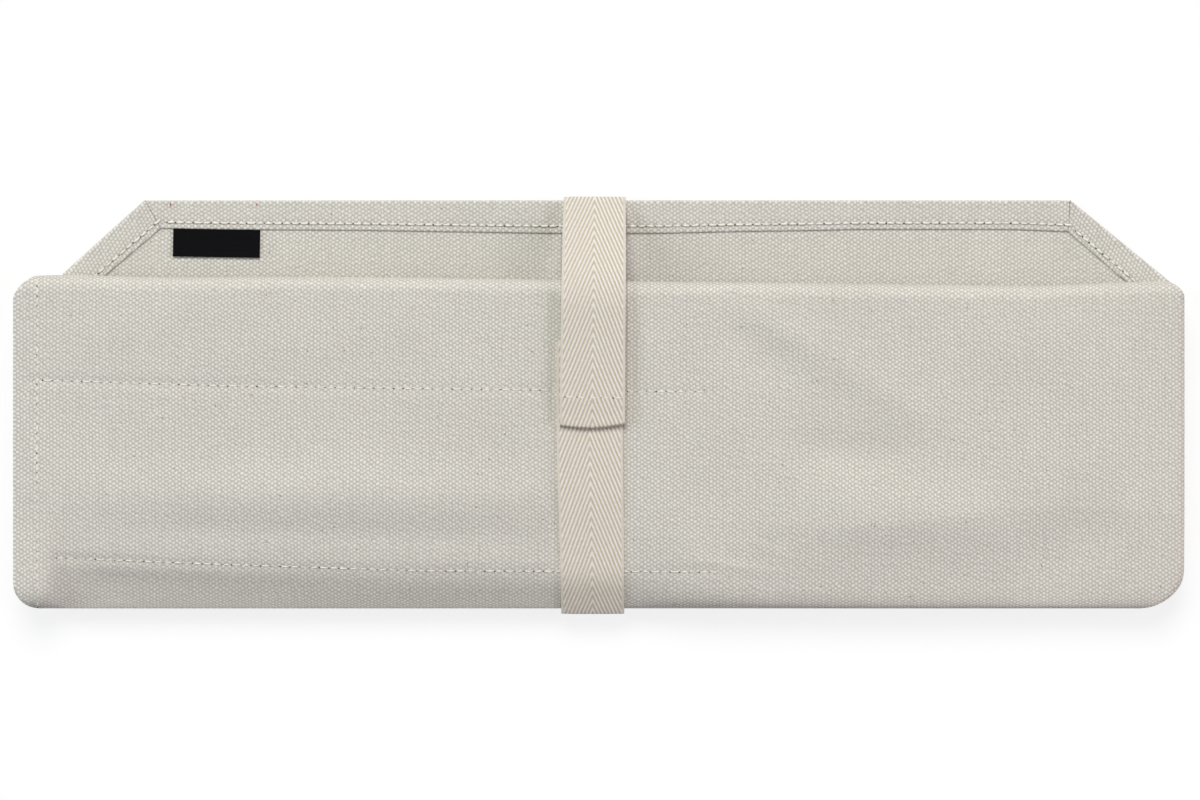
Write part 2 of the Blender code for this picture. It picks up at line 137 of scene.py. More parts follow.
# Soft folds on the front: x, y, half length, half width, turn in degrees, height
FRONT_FOLDS = [
    (-103.6, -37.0, 96.0, 12.0, -1.0, 1.9),
    (-115.6, -50.5, 74.0, 5.0, -1.0, -0.25),
    (-107.6, -58.0, 84.0, 4.4, -2.0, 0.2),
    (-176.0, 34.0, 32.0, 8.0, 16.0, 0.35),
    (-120.0, 24.0, 46.0, 9.0, 8.0, 0.35),
    (-58.0, 2.0, 26.0, 14.0, 20.0, 0.45),
    (94.4, 17.2, 46.0, 8.0, -31.0, 1.0),
    (64.4, 22.0, 18.0, 10.0, -38.0, -0.9),
    (102.4, -19.0, 24.0, 9.0, -6.0, -1.3),
    (126.4, -45.0, 36.0, 13.0, -3.0, 1.9),
    (178.4, -62.0, 13.0, 15.0, 0.0, -1.5),
    (196.4, -52.0, 12.0, 14.0, 6.0, -0.9),
    (54.0, -64.5, 16.0, 1.8, -10.0, 0.32),
    (70.0, -58.5, 12.0, 1.6, -22.0, 0.25),
    (170.0, 24.0, 30.0, 11.0, 12.0, 0.4),
]

# Where the front starts to fall away towards the bottom fold, in (x, y), and how square its edge is: 2 is an ellipse
SHOULDER = [
    (-234.4, -65.0), (-221.5, -64.0), (-216.0, -36.0), (-100.0, -34.0), (0.0, -36.0), (60.0, -47.0), (110.0, -49.0),
    (160.0, -42.0), (190.0, -40.0), (234.4, -44.0),
]
SHOULDER_SQUARE = [
    (-234.4, 4.0), (-222.0, 4.0), (-214.0, 1.5), (-100.0, 1.6), (10.0, 1.8), (36.0, 2.8), (80.0, 6.0), (110.0, 8.0),
    (234.4, 8.0),
]
# How much of that fall is an even lean, in (x, share)
SHOULDER_LEAN = [(36.0, 0.0), (80.0, 0.36), (234.4, 0.4)]
# On the left it slopes down plainly below the low row of stitches: where from, in (x, y), and the fall's share by then
SLOPE_KNEE = [(-216.0, -61.0), (-150.0, -66.5), (-71.6, -69.5), (40.0, -70.0)]
SLOPE_KNEE_SHARE = 0.21

# The tape's edges as it lies: ys, then the left edge's and the right edge's x at each
LOWER_TAPE = ([-83.0, -60.0, -20.0, 26.0], [-15.1, -15.6, -16.9, -17.1], [10.1, 10.0, 9.6, 9.4])
UPPER_TAPE = ([-9.5, 2.0, 52.0, 83.6], [-15.6, -15.7, -14.9, -14.1], [10.4, 10.4, 10.7, 10.8])
BACK_TAPE = ([-83.0, 0.0], [-15.1, -14.9], [10.1, 10.1])
EDGE_TAPE = ([0.0, 52.0, 83.6], [-14.9, -15.2, -14.1], [10.1, 10.7, 10.7])
# The free tape: its climb in degrees, the radii of its turns at the flap's edge and on to the front, and its end
CLIMB = 29
EDGE_TURN_R, SHOULDER_TURN_R = 1.7, 34.0
END_START_Y, TURNED_UNDER = 31.0, 12.4

# Rows of stitches through the front, as (x, y) points
FRONT_ROWS = {
    "low": [(-217.2, -61.2), (-150.0, -63.9), (-71.6, -66.4), (44.0, -66.9)],
    "high": [(-226.4, 10.0), (-150.0, 7.6), (-79.6, 6.6), (42.4, 5.2)],
}
SIDE_ROW_X = -224.8
BACK_ROWS_Y = (-71.3, -36.36, 28.5)
INNER_ROW_Y = 27.4
STITCH_PITCH = 3.9
HEM_STITCH_PITCH = 3.55
STITCH, HEM_STITCH, NEEDLE_HOLE = (1.5, 0.32, 0.28), (1.5, 0.46, 0.40), (0.36, 0.29, 0.30)
LEAST_STITCH, LEAST_HEM_STITCH = 0.62, 0.86  # the smallest bead's share of these sizes
BACK_THREAD_Z = 0.04

# The patches' ground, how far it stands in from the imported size, and the size and spacing of their pile
PATCH_CLOTH, PATCH_IN = 0.35, 0.3
HOOK, LOOP, PILE_PITCH, PILE_ROWS = (0.16, 0.14, 0.2), (0.34, 0.2, 0.18), 1.15, 1.1


def linear(code):
    """A hex colour as the linear values that a shader takes."""
    parts = [int(code[i : i + 2], 16) / 255 for i in (1, 3, 5)]
    return (*[p / 12.92 if p <= 0.04045 else ((p + 0.055) / 1.055) ** 2.4 for p in parts], 1.0)


def colour_property(name, words, code):
    colour = {"subtype": "COLOR", "size": 4, "min": 0, "max": 1, "default": linear(code)}
    return FloatVectorProperty(name=name, description=words, **colour)


def length_property(name, words, value):
    return FloatProperty(name=name, description=words, unit="LENGTH", min=0, precision=5, default=value * MM)


class KNIFEROLL_PG_canvas(bpy.types.PropertyGroup):
    yarn: colour_property("Yarn", "Colour of the raised warp yarns", "#eae7e1")
    # the darker colour between the yarns is painted shade in the gaps between the raised yarns
    gap_shade: colour_property("Gaps", "Colour between the yarns", "#b6b1a4")
    fleck: colour_property("Flecks", "Colour of the seed flecks left in undyed cotton", "#84694a")
    across: length_property("Warp spacing", "Spacing of the yarns across the roll", 1.32)
    along: length_property("Weft spacing", "Spacing of the yarns along the roll's depth", 0.85)
    fullness: length_property("Fullness", "How high the front swells", 1.5)


class KNIFEROLL_PG_tape(bpy.types.PropertyGroup):
    rib: colour_property("Rib", "Colour of the twill ribs", "#f0ece6")
    groove: colour_property("Groove", "Colour between the ribs", "#c8b9a3")
    pitch: length_property("Rib spacing", "Spacing of the ribs across the tape", 1.54)
    slope: FloatProperty(
        name="Rib slope", description="Run of a rib along the tape for each step across it", min=1, default=2.6
    )


class KNIFEROLL_PG_trim(bpy.types.PropertyGroup):
    thread: colour_property("Thread", "Colour of the sewing thread", "#f4f1e8")
    # the needle holes' dark colour is painted shade inside the holes
    hole: colour_property("Needle hole", "Colour inside the needle holes", "#57482f")
    label: colour_property("Label", "Colour of the woven label", "#060607")
    tick: colour_property("Label thread", "Colour of the thread that tacks the label", "#a8453c")
    patch: colour_property("Patches", "Colour of the hook and loop patches", "#d3ccbd")


def smooth(share):
    share = np.clip(share, 0.0, 1.0)
    return share * share * (3 - 2 * share)


def swell(x, y):
    """The slow unevenness of cloth that has been handled, from about -1 to 1."""
    return (np.sin(x / 23 + y / 41 + 0.4) + np.sin(x / 37 - y / 19 + 2.1) + 0.4 * np.sin(x / 11 + y / 13 + 4)) / 2.4


def rounded(x, corners, reach):
    """A line through corners, rounded over a reach to each side."""
    xs, ys = zip(*corners)
    return sum(np.interp(x + away, xs, ys) for away in np.linspace(-reach, reach, 9)) / 9


def top_edge(x):
    """How far up the front's top edge lies at x."""
    return rounded(x, TOP_EDGE, 12)


def inset(away, radius, power=2.0):
    """How far a rounded corner draws the side in, at a distance from the edge that it meets. Power 1 is a chamfer."""
    left = np.clip(radius - away, 0.0, radius)
    return radius - (radius**power - left**power) ** (1 / power)


def row_distance(x, y, row):
    """Signed distance up from a row of stitches, and how far along it lies as a 0 to 1 mask."""
    xs, ys = zip(*row)
    mask = smooth((x - xs[0]) / 4 + 1) * smooth((xs[-1] - x) / 4 + 1)
    return y - np.interp(x, xs, ys), mask


def bed(x):
    """How far the back lies up over the tape sewn behind it."""
    return STRAP_BED * smooth(1 - (np.abs(x - STRAP_X) - TAPE_HALF - 0.8) / 6)


def front_height(x, y):
    """How far the front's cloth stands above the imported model's flat face."""
    fullness = bpy.context.scene.knife_roll_canvas.fullness / MM
    # it swells in from the sides, the bottom and the top, lies unevenly and has its soft folds
    beside, above, below = np.minimum(x + HALF_WIDTH, HALF_WIDTH - x), y - FOLD_Y + 10, 52 - y
    height = fullness * (1 - np.exp(-beside / 26)) * (1 - np.exp(-above / 22)) * (1 - np.exp(-below / 16))
    height = height + 0.28 * swell(x, y)
    for fx, fy, long, wide, turn, rise in FRONT_FOLDS:
        c, s = math.cos(math.radians(turn)), math.sin(math.radians(turn))
        run, off = (x - fx) * c + (y - fy) * s, (y - fy) * c - (x - fx) * s
        height = height + rise * np.exp(-((run / long) ** 4) - (off / wide) ** 2)
    # the slack cloth below the low row sinks on the left
    height = height - 0.7 * smooth((-62 - y) / 9) * smooth((110 - np.abs(x + 106)) / 20)
    # each row of stitches draws the cloth down and puckers it, less so towards the right
    for name, row in FRONT_ROWS.items():
        off, mask = row_distance(x, y, row)
        fade = 0.45 + 0.55 * smooth((-60 - x) / 150)
        pucker = 0.09 * np.sin(x * 2 * math.pi / (2.3 * STITCH_PITCH) + (1.1 if name == "low" else 0.0))
        height = height - mask * fade * (0.42 * np.exp(-((off / 1.7) ** 2)) - pucker * np.exp(-((off / 4.5) ** 2)))
    # the side hem stands up with its row of stitches sunk in it, and the fold over the handles stands up too
    height = height + 0.35 * smooth((-221.5 - x) / 3.5)
    height = height - 0.40 * np.exp(-(((x - SIDE_ROW_X) / 1.1) ** 2))
    height = height + 0.30 * smooth((x - 204) / 14)
    # the strap holds the cloth down
    strap = smooth((TAPE_HALF + 9 - np.abs(x - STRAP_X)) / 8.5)
    return height * (1 - strap) - 0.12 * strap


def shoulder_drop(x, y, reach=FOLD_R, height=FOLD_R):
    """How far the front has fallen, on its shoulder, on its way to the bottom fold's outermost line."""
    edge = FOLD_Y - reach
    start = rounded(x, SHOULDER, 3)
    square = rounded(x, SHOULDER_SQUARE, 3)
    share = np.clip((start - y) / (start - edge), 0, 1)
    lean = rounded(x, SHOULDER_LEAN, 3)
    bulge = lean * share + (1 - lean) * (1 - (1 - share**square) ** (1 / square))
    knee = rounded(x, SLOPE_KNEE, 3)
    upper = np.maximum(start, knee + 20)
    slope = 0.0
    for shift in np.linspace(-4, 4, 9):
        gentle = SLOPE_KNEE_SHARE * (upper - y - shift) / (upper - knee)
        steep = SLOPE_KNEE_SHARE + (1 - SLOPE_KNEE_SHARE) * (knee - y - shift) / (knee - edge)
        slope = slope + np.maximum(0, np.maximum(gentle, steep)) / 9
    plain = 0.9 * smooth((40 - x) / 50) * smooth((x + 222) / 8)
    return height * (plain * slope + (1 - plain) * bulge)


def front_rise(x, y):
    """Height of the front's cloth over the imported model's flat face, its fall to the bottom fold included."""
    return front_height(x, y) - shoulder_drop(x, y)


def back_height(x, y):
    """How far the back's cloth stands off what the roll lies on, beyond its own thickness."""
    # the end flap is free above the front, stands most beside the strap, and lies flat behind the label
    free = smooth((y - 46) / 32)
    beside = np.exp(-(((np.abs(x - STRAP_X) - TAPE_HALF - 14) / 13) ** 2))
    loose = free * (0.95 + 0.28 * swell(x * 1.4, y) + 1.4 * beside)
    loose = loose * smooth((np.abs(x - LABEL_X) - 24) / 14)
    on_tape = smooth(bed(x) / STRAP_BED)
    return bed(x) * on_tape + loose * (1 - on_tape)


def canvas_at(r, x):
    """The one outer canvas at row r: y, z, its outward normal's y and z, its length along the weave, and its height.

    Rows -3 to 0 are the back, from the flap's hem to the outside of the bottom fold, 0 to 3 the front, to the
    outside of the top fold, and 3 to 6 the inner end. Each whole number ends a bend or a flat run.
    """
    quarter = math.pi / 2
    top_y = top_edge(x) - HALF - TOP_R
    flat = np.ones_like(x)
    flap_end = FLAP_TOP_Y - HALF - HEM_R
    if r < -2:
        a = (-2 - r) * quarter
        y, z = flap_end + HEM_R * math.sin(a), BACK_Z + HEM_R * (1 - math.cos(a))
        v = -FOLD_R * quarter - (flap_end - FOLD_Y) - HEM_R * a
        return y * flat, z + back_height(x, flap_end), 0.0, -1.0, v * flat, 0.0 * flat
    if r < -1:
        y = FOLD_Y + (-1 - r) * (flap_end - FOLD_Y)
        v = -FOLD_R * quarter - (y - FOLD_Y)
        return y * flat, BACK_Z + back_height(x, y), 0.0, -1.0, v * flat, 0.0 * flat
    if r < 1:
        a = r * quarter
        y, z = (FOLD_Y - FOLD_R * math.cos(a)) * flat, (FOLD_MID_Z + FOLD_R * math.sin(a)) * flat
        height = -bed(x) * smooth(-r)
        if r > 0:
            z = FRONT_Z - shoulder_drop(x, y)
            height = front_height(x, FOLD_Y * flat) * smooth(r)
        return y, z, -math.cos(a), math.sin(a), FOLD_R * a * flat, height
    v_front = FOLD_R * quarter
    if r < 2:
        y = FOLD_Y + (r - 1) * (top_y - FOLD_Y)
        return y, FRONT_Z - shoulder_drop(x, y), 0.0, 1.0, v_front + y - FOLD_Y, front_height(x, y)
    v_top = v_front + top_y - FOLD_Y
    if r < 4:
        a = (r - 2) * quarter
        y, z = top_y + TOP_R * math.sin(a), TOP_MID_Z + TOP_R * math.cos(a)
        height = front_height(x, top_y) * smooth(3 - r)
        return y, z * flat, math.sin(a), math.cos(a), v_top + TOP_R * a, height
    v_inner = v_top + TOP_R * math.pi
    end = INNER_END_Y + HALF + HEM_R
    if r < 5:
        y = top_y + (r - 4) * (end - top_y)
        return y, INNER_Z * flat, 0.0, -1.0, v_inner + top_y - y, 0.0 * flat
    a = (r - 5) * quarter
    y, z = end - HEM_R * math.sin(a), INNER_Z + HEM_R * (1 - math.cos(a))
    return y * flat, z * flat, 0.0, -1.0, v_inner + top_y - end + HEM_R * a, 0.0 * flat


def ends(r):
    """The left and right ends of the cloth's middle at row r, and the radius of its turn at the right.

    On the right it is a fold over the handles, and a hem on the flap's slanted edge.
    """
    y = canvas_at(r, np.array([-230.0, 230.0]))[0]
    bottom = FOLD_Y - FOLD_R
    left = -HALF_WIDTH + HALF + inset(y - bottom, CORNER_BL - HALF)
    right = HALF_WIDTH - HALF - inset(y - bottom, CORNER_BR - HALF)
    if r < -1:
        (_, y1), (x2, y2) = FLAP_OUTLINE[1:3]
        left = left + np.clip(y - y1, 0, None) * (x2 + HALF_WIDTH) / (y2 - y1)
        (x3, y3), (_, y4) = FLAP_OUTLINE[3:5]
        right = right - np.clip(y - y4, 0, None) * (HALF_WIDTH - x3) / (y3 - y4)
    elif r > 1:
        left = left + inset(top_edge(-230.0) - HALF - y, CORNER_TL - HALF, 1.45)
        right = right - inset(top_edge(230.0) - HALF - y, CORNER_TR - HALF)
    curl = SIDE_FOLD_R
    if r < 0:  # the back's fold narrows to a hem where the slanted edge starts
        back = HEM_R + ((BACK_POCKET_Z - BACK_Z) / 2 - HEM_R) * smooth((43.5 - y[1]) / 10)
        curl = back + (SIDE_FOLD_R - back) * smooth(r + 1)
    return left[0], right[1], float(curl)


def strip(*columns):
    """One row of a grid of points. Each column is a number or an array along the row."""
    return np.column_stack(np.broadcast_arrays(*columns))


def outer_canvas(name, rows, columns=290):
    """A stretch of the outer canvas, with its left and right turns."""
    turn = np.radians(np.linspace(90, 0, 6))[:-1]
    swing, sink = 1 - np.sin(turn), 1 - np.cos(turn)
    grid = []
    for r in rows:
        left, right, curl = ends(r)
        inner = np.linspace(left + HEM_R, right - curl, columns)
        x = np.concatenate([left + HEM_R * swing, inner, (right - curl * swing)[::-1]])
        depth = np.concatenate([HEM_R * sink, 0 * inner, (curl * sink)[::-1]])
        along = np.concatenate([left + HEM_R * (1 - turn), inner, (right - curl * (1 - turn))[::-1]])
        y, z, ny, nz, v, height = canvas_at(r, x)
        lift = height - depth
        grid.append(strip(x, y + ny * lift, z + nz * lift, along, v))
    return fabric(name, grid)


def new_object(name, data):
    """An object with this data, in the scene."""
    obj = bpy.data.objects.new(name, data)
    bpy.context.scene.collection.objects.link(obj)
    return obj


def fabric(name, grid, thickness=CLOTH, material=None):
    """A closed piece of cloth from the grid of its middle surface. The weave map holds metres along the yarns.

    Each row of the grid holds x, y, z and the lengths across and along the weave.
    """
    grid = np.array(grid) * MM
    rows, columns = grid.shape[:2]
    corner = np.arange(rows * columns).reshape(rows, columns)
    faces = np.stack([corner[:-1, :-1], corner[:-1, 1:], corner[1:, 1:], corner[1:, :-1]], axis=-1).reshape(-1, 4)
    mesh = bpy.data.meshes.new(name)
    mesh.from_pydata(grid[..., :3].reshape(-1, 3).tolist(), [], faces.tolist())
    places = grid[..., 3:].reshape(-1, 2)
    mesh.uv_layers.new(name="Weave").data.foreach_set("uv", places[faces.ravel()].ravel().astype(np.float32))
    mesh.shade_smooth()
    obj = new_object(name, mesh)
    solid = obj.modifiers.new("Thickness", "SOLIDIFY")
    solid.thickness = thickness * MM
    solid.offset = 0
    solid.use_even_offset = True
    return settle(obj, material or duck())


def cut_size(piece):
    """The size in metres that a piece of cloth was cut to, from its weave map."""
    spots = np.empty(2 * len(piece.data.loops), np.float32)
    piece.data.uv_layers["Weave"].data.foreach_get("uv", spots)
    return tuple(float(s) for s in np.ptp(spots.reshape(-1, 2), axis=0))


def settle(obj, material):
    """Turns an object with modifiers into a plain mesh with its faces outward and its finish."""
    evaluated = obj.evaluated_get(bpy.context.evaluated_depsgraph_get())
    mesh = bpy.data.meshes.new_from_object(evaluated)
    obj.modifiers.clear()
    obj.data = mesh
    mesh.name = obj.name
    work = bmesh.new()
    work.from_mesh(mesh)
    if work.calc_volume(signed=True) < 0:
        bmesh.ops.reverse_faces(work, faces=work.faces)
    work.to_mesh(mesh)
    work.free()
    mesh.set_sharp_from_angle(angle=math.radians(50))
    mesh.materials.clear()
    mesh.materials.append(material)
    return obj


def add_node(tree, kind, *given, out=0, **settings):
    """Adds a node with its settings and links, and returns one of its outputs. A shader node's kind has no prefix.

    Its inputs are given in order, or in a dict by name or number. A socket is linked, and any other value is set.
    """
    node = tree.nodes.new(kind if "Node" in kind else f"ShaderNode{kind}")
    for key, value in settings.items():
        setattr(node, key, value)
    inputs = given[0] if given and isinstance(given[0], dict) else dict(enumerate(given))
    for key, value in inputs.items():
        if isinstance(value, bpy.types.NodeSocket):
            tree.links.new(value, node.inputs[key])
        else:
            node.inputs[key].default_value = value
    return node.outputs[out] if node.outputs else node


def finish(name, roughness, sheen=0.0, specular=0.25):
    """A new material, and add_node for its tree."""
    material = bpy.data.materials.new(name)
    material.use_nodes = True
    shader = material.node_tree.nodes["Principled BSDF"]
    for socket, value in {"Roughness": roughness, "Specular IOR Level": specular, "Sheen Weight": sheen}.items():
        shader.inputs[socket].default_value = value
    return material, partial(add_node, material.node_tree)


def cover(material, colour, height, depth, strength=0.6):
    """Gives a material its colour and, where depth isn't 0, a relief from height. Depth is in millimetres."""
    tree = material.node_tree
    shader = tree.nodes["Principled BSDF"]
    tree.links.new(colour, shader.inputs["Base Color"])
    if depth:
        bump = add_node(tree, "Bump", {"Height": height, "Strength": strength, "Distance": depth * MM})
        tree.links.new(bump, shader.inputs["Normal"])
    return material


def cotton_duck(look):
    """Cotton duck, undyed, woven plain in a loom from two-ply yarns.

    It gives the eye rows of pale knots in a brick pattern with painted shade in the darker gaps between them, thick and
    thin yarns, and a few brown seed flecks.
    """
    material, add = finish("Cotton duck, undyed, plain weave", 0.92, sheen=0.08)
    place = add("UVMap", uv_map="Weave")
    axes = add("SeparateXYZ", place).node.outputs
    drift, knots, cloud = [
        add("TexNoise", {"Vector": place, "Scale": scale, "Detail": detail}, out="Fac")
        for scale, detail in ((330.0, 2.0), (720.0, 1.0), (24.0, 3.0))
    ]
    wobble = add("MapRange", drift, 0.0, 1.0, -2.1, 2.1)
    turns = [
        add("Math", axis, math.pi / spacing, wobble, operation="MULTIPLY_ADD")
        for axis, spacing in zip(axes, (look.across, look.along))
    ]
    warp, weft = [add("Math", turn, operation="COSINE") for turn in turns]
    ridge = add("Math", warp, 0.4, operation="MULTIPLY")
    knot = add("Math", weft, 0.6, ridge, operation="MULTIPLY_ADD")
    raised = add("Math", warp, knot, operation="MULTIPLY")
    share = add("Math", raised, 0.36, operation="ADD", use_clamp=True)
    # the knots take the yarn colour, and the gaps between them a darker colour that is painted shade
    weave = add("Mix", {0: share, 6: tuple(look.gap_shade), 7: tuple(look.yarn)}, out=2, data_type="RGBA")
    # yarns run thick and thin along the warp and the weft, single knots catch more or less light, and the piece clouds
    streaks = []
    for stretch in ((60.0, 1100.0, 1.0), (1100.0, 50.0, 1.0)):
        scaled = add("Mapping", {"Vector": place, "Scale": stretch})
        streaks.append(add("TexNoise", {"Vector": scaled, "Scale": 1.0, "Detail": 1.0}, out="Fac"))
    slub = add("Math", *streaks, operation="ADD")
    uneven = 1.0 - 0.09 / 2 - 0.13 - 0.30 / 2  # so that these leave the mean where it is
    for noise, change in ((cloud, 0.09), (slub, 0.13), (knots, 0.30)):
        uneven = add("Math", noise, change, uneven, operation="MULTIPLY_ADD")
    shaded = add("VectorMath", {0: weave, "Scale": uneven}, operation="SCALE")
    # seed flecks, about 0.65 mm across and one to each 70 square millimetres
    cells = add("TexVoronoi", {"Vector": place, "Scale": 190.0}).node.outputs
    picked = add("SeparateColor", cells["Color"])
    chosen = add("Math", picked, 0.55, operation="GREATER_THAN")
    seed = add("Math", cells["Distance"], 0.062, operation="LESS_THAN")
    for factor in (chosen, 0.75):
        seed = add("Math", seed, factor, operation="MULTIPLY")
    base = add("Mix", {0: seed, 6: shaded, 7: tuple(look.fleck)}, out=2, data_type="RGBA")
    relief = add("Math", slub, 0.5, operation="MULTIPLY")
    relief = add("Math", raised, 0.8, relief, operation="MULTIPLY_ADD")
    return cover(material, base, relief, 0.12, 0.55)


def herringbone_tape(look):
    """Cotton twill tape, woven narrow with the twill turned about its middle.

    It gives the eye cream ribs that slope up to a spine, with shaded grooves between them and plain selvedges.
    """
    material, add = finish("Herringbone tape, cream cotton", 0.88, sheen=0.08)
    place = add("UVMap", uv_map="Weave")
    axes = add("SeparateXYZ", place).node.outputs
    away = add("Math", axes[0], operation="ABSOLUTE")
    slant = add("Math", axes[1], 1 / look.slope, away, operation="MULTIPLY_ADD")
    drift, fuzz = [
        add("TexNoise", {"Vector": place, "Scale": scale, "Detail": 2.0}, out="Fac") for scale in (420.0, 900.0)
    ]
    wobble = add("MapRange", drift, 0.0, 1.0, -0.6, 0.6)
    turns = add("Math", slant, 2 * math.pi / look.pitch, wobble, operation="MULTIPLY_ADD")
    rib = add("Math", turns, operation="COSINE")
    inside = add("Math", away, (TAPE_HALF - 1.0) * MM, operation="LESS_THAN")
    ribbed = add("Math", rib, inside, operation="MULTIPLY")
    share = add("Math", ribbed, 0.55, 0.5, operation="MULTIPLY_ADD", use_clamp=True)
    base = add("Mix", {0: share, 6: tuple(look.groove), 7: tuple(look.rib)}, out=2, data_type="RGBA")
    uneven = add("MapRange", fuzz, 0.0, 1.0, 0.87, 1.13)
    shaded = add("VectorMath", {0: base, "Scale": uneven}, operation="SCALE")
    return cover(material, shaded, ribbed, 0.14)


def label_damask(look):
    """Damask label ribbon, black polyester, woven finely and cut by heat.

    It gives the eye a dull black with fine ribs across, whose lighter grey is a painted highlight on the ribs. The real
    ribs are too fine to show, so they are 0.5 mm apart.
    """
    material, add = finish("Damask label, black polyester", 0.95, specular=0.08)
    place = add("UVMap", uv_map="Weave")
    axes = add("SeparateXYZ", place).node.outputs
    turns = add("Math", axes[1], 2 * math.pi / (0.5 * MM), operation="MULTIPLY")
    rib_relief_and_highlight = add("Math", turns, operation="SINE")
    lint = add("TexNoise", {"Vector": place, "Scale": 2200.0, "Detail": 2.0}, out="Fac")
    fuzz = add("Math", rib_relief_and_highlight, 0.25, lint, operation="MULTIPLY_ADD")
    share = add("Math", fuzz, 0.16, operation="MULTIPLY", use_clamp=True)
    # the lighter grey is partly a painted highlight along the ribs and partly the lint's random tone
    base = add("Mix", {0: share, 6: tuple(look.label), 7: linear("#3c3a40")}, out=2, data_type="RGBA")
    return cover(material, base, fuzz, 0.08, 0.5)


def speckled(name, colour, roughness, scale, least, most, sheen=0.0, relief=0.0):
    """A plain yarn or pile: its colour goes lighter and darker between least and most, in specks 1 / scale m apart."""
    material, add = finish(name, roughness, sheen)
    place = add("TexCoord", out="Object")
    fuzz = add("TexNoise", {"Vector": place, "Scale": scale, "Detail": 2.0}, out="Fac")
    value = add("MapRange", fuzz, 0.0, 1.0, least, most)
    shade = add("VectorMath", {0: tuple(colour)[:3], "Scale": value}, operation="SCALE")
    return cover(material, shade, fuzz, relief)


def shared(name, make, *values):
    """The material of this name, made the first time it is asked for."""
    return bpy.data.materials.get(name) or make(*values)


def duck():
    return shared("Cotton duck, undyed, plain weave", cotton_duck, bpy.context.scene.knife_roll_canvas)


def tape():
    return shared("Herringbone tape, cream cotton", herringbone_tape, bpy.context.scene.knife_roll_tape)


def thread(name, colour):
    """Spun and twisted sewing thread: matt, and uneven. Its twist is too fine to show."""
    return shared(name, speckled, name, colour, 0.8, 1800.0, 0.85, 1.15)


def bend_bottom(obj, part):
    """Bakes the object's placement into its mesh, for the back and the front alike."""
    if part == "back":
        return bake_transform(obj)
    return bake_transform(obj)


def bend_top(obj):
    """Bakes the object's placement into its mesh."""
    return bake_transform(obj)


class KNIFEROLL_OT_outer_canvas(bpy.types.Operator):
    """Lay the one outer canvas: its back with the end flap, its front and its inner end"""

    bl_idname = "knife_roll.outer_canvas"
    bl_label = "Outer canvas"

    def execute(self, context):
        bends = np.linspace(0, 1, 15)
        parts = {
            "back_cloth": [*np.linspace(-3, -2, 6)[:-1], *np.linspace(-2, -1, 90), *(bends[1:] - 1)],
            "front_cloth": [*bends, *(np.linspace(0, 1, 100)[1:] + 1), *(bends[1:] + 2)],
            "inner_cloth": [*(bends + 3), *(np.linspace(0, 1, 34)[1:] + 4), *(np.linspace(0, 1, 6)[1:] + 5)],
        }
        for name, rows in parts.items():
            piece = outer_canvas(name, rows)
            if name == "inner_cloth":
                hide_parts("inner_canvas", "top_fold")
                bend_top(piece)
            else:
                nodes = ("back_canvas",) if name == "back_cloth" else ("front_canvas", "bottom_fold")
                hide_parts(*nodes)
                bend_bottom(piece, name.split("_")[0])
            cut_size(piece)
        return {"FINISHED"}


def hem_profile():
    """(distance in from the edge, height above the cloth's middle) across a hem that is turned over and laid down."""
    turn = np.radians(np.linspace(90, 180, 6))
    over = [(HALF + HEM_R * (1 - math.sin(a)), HEM_R * (1 - math.cos(a))) for a in turn]
    # the inner edge is pressed down, and its last half millimetre rolls under
    lip = HEM_WIDTH - 0.5
    flat = np.linspace(HALF + HEM_R, lip, 14)[1:]
    pressed = HEM_LIFT - 0.3 * smooth((flat - HEM_WIDTH + 3.2) / 2.4)
    down = [(lip + 0.4 * math.sin(a), pressed[-1] - 0.3 * (1 - math.cos(a))) for a in np.radians(EDGE_ROLL)]
    return over + list(zip(flat, pressed)) + down


def flap_side(index, count):
    """Points along one side of the flap's outline, and the points of its hem's inner edge that lie across from them."""
    shares = np.linspace(0, 1, count)[:, None]
    outer = FLAP_OUTLINE[index] + (FLAP_OUTLINE[index + 1] - FLAP_OUTLINE[index]) * shares
    inner = FLAP_INNER[index] + (FLAP_INNER[index + 1] - FLAP_INNER[index]) * shares
    if index == TOP_SIDE:
        inner[:, 1] = rounded(inner[:, 0], TOP_HEM_LINE, 5)
    return outer, inner


def flap_hem(name, index):
    """One side of the back's hemmed edge, mitred where it meets the next."""
    span = FLAP_OUTLINE[index + 1] - FLAP_OUTLINE[index]
    length = np.linalg.norm(span)
    run = span / length
    inward = np.array([run[1], -run[0]])
    outer, inner = flap_side(index, max(8, int(length / 2.2)))
    seam = 0.12 * np.outer(np.linspace(1, -1, len(outer)), run)
    grid = []
    for distance, rise in hem_profile():
        plan = outer + (inner - outer) * distance / HEM_WIDTH + seam
        dip = 0.0
        if rise > HEM_R:
            wave = 0.07 * np.sin(plan @ run * 2 * math.pi / HEM_STITCH_PITCH)
            dip = -(0.22 + wave) * math.exp(-(((distance - HEM_WIDTH + HEM_ROW_IN) / 1.1) ** 2))
        z = BACK_Z + rise + back_height(*plan.T) + dip
        fold = plan - 2 * np.outer((plan - FLAP_OUTLINE[index]) @ inward, inward)
        grid.append(strip(*plan.T, z, fold[:, 0], -fold[:, 1] - FOLD_R * math.pi / 2 + FOLD_Y))
    return fabric(name, grid)


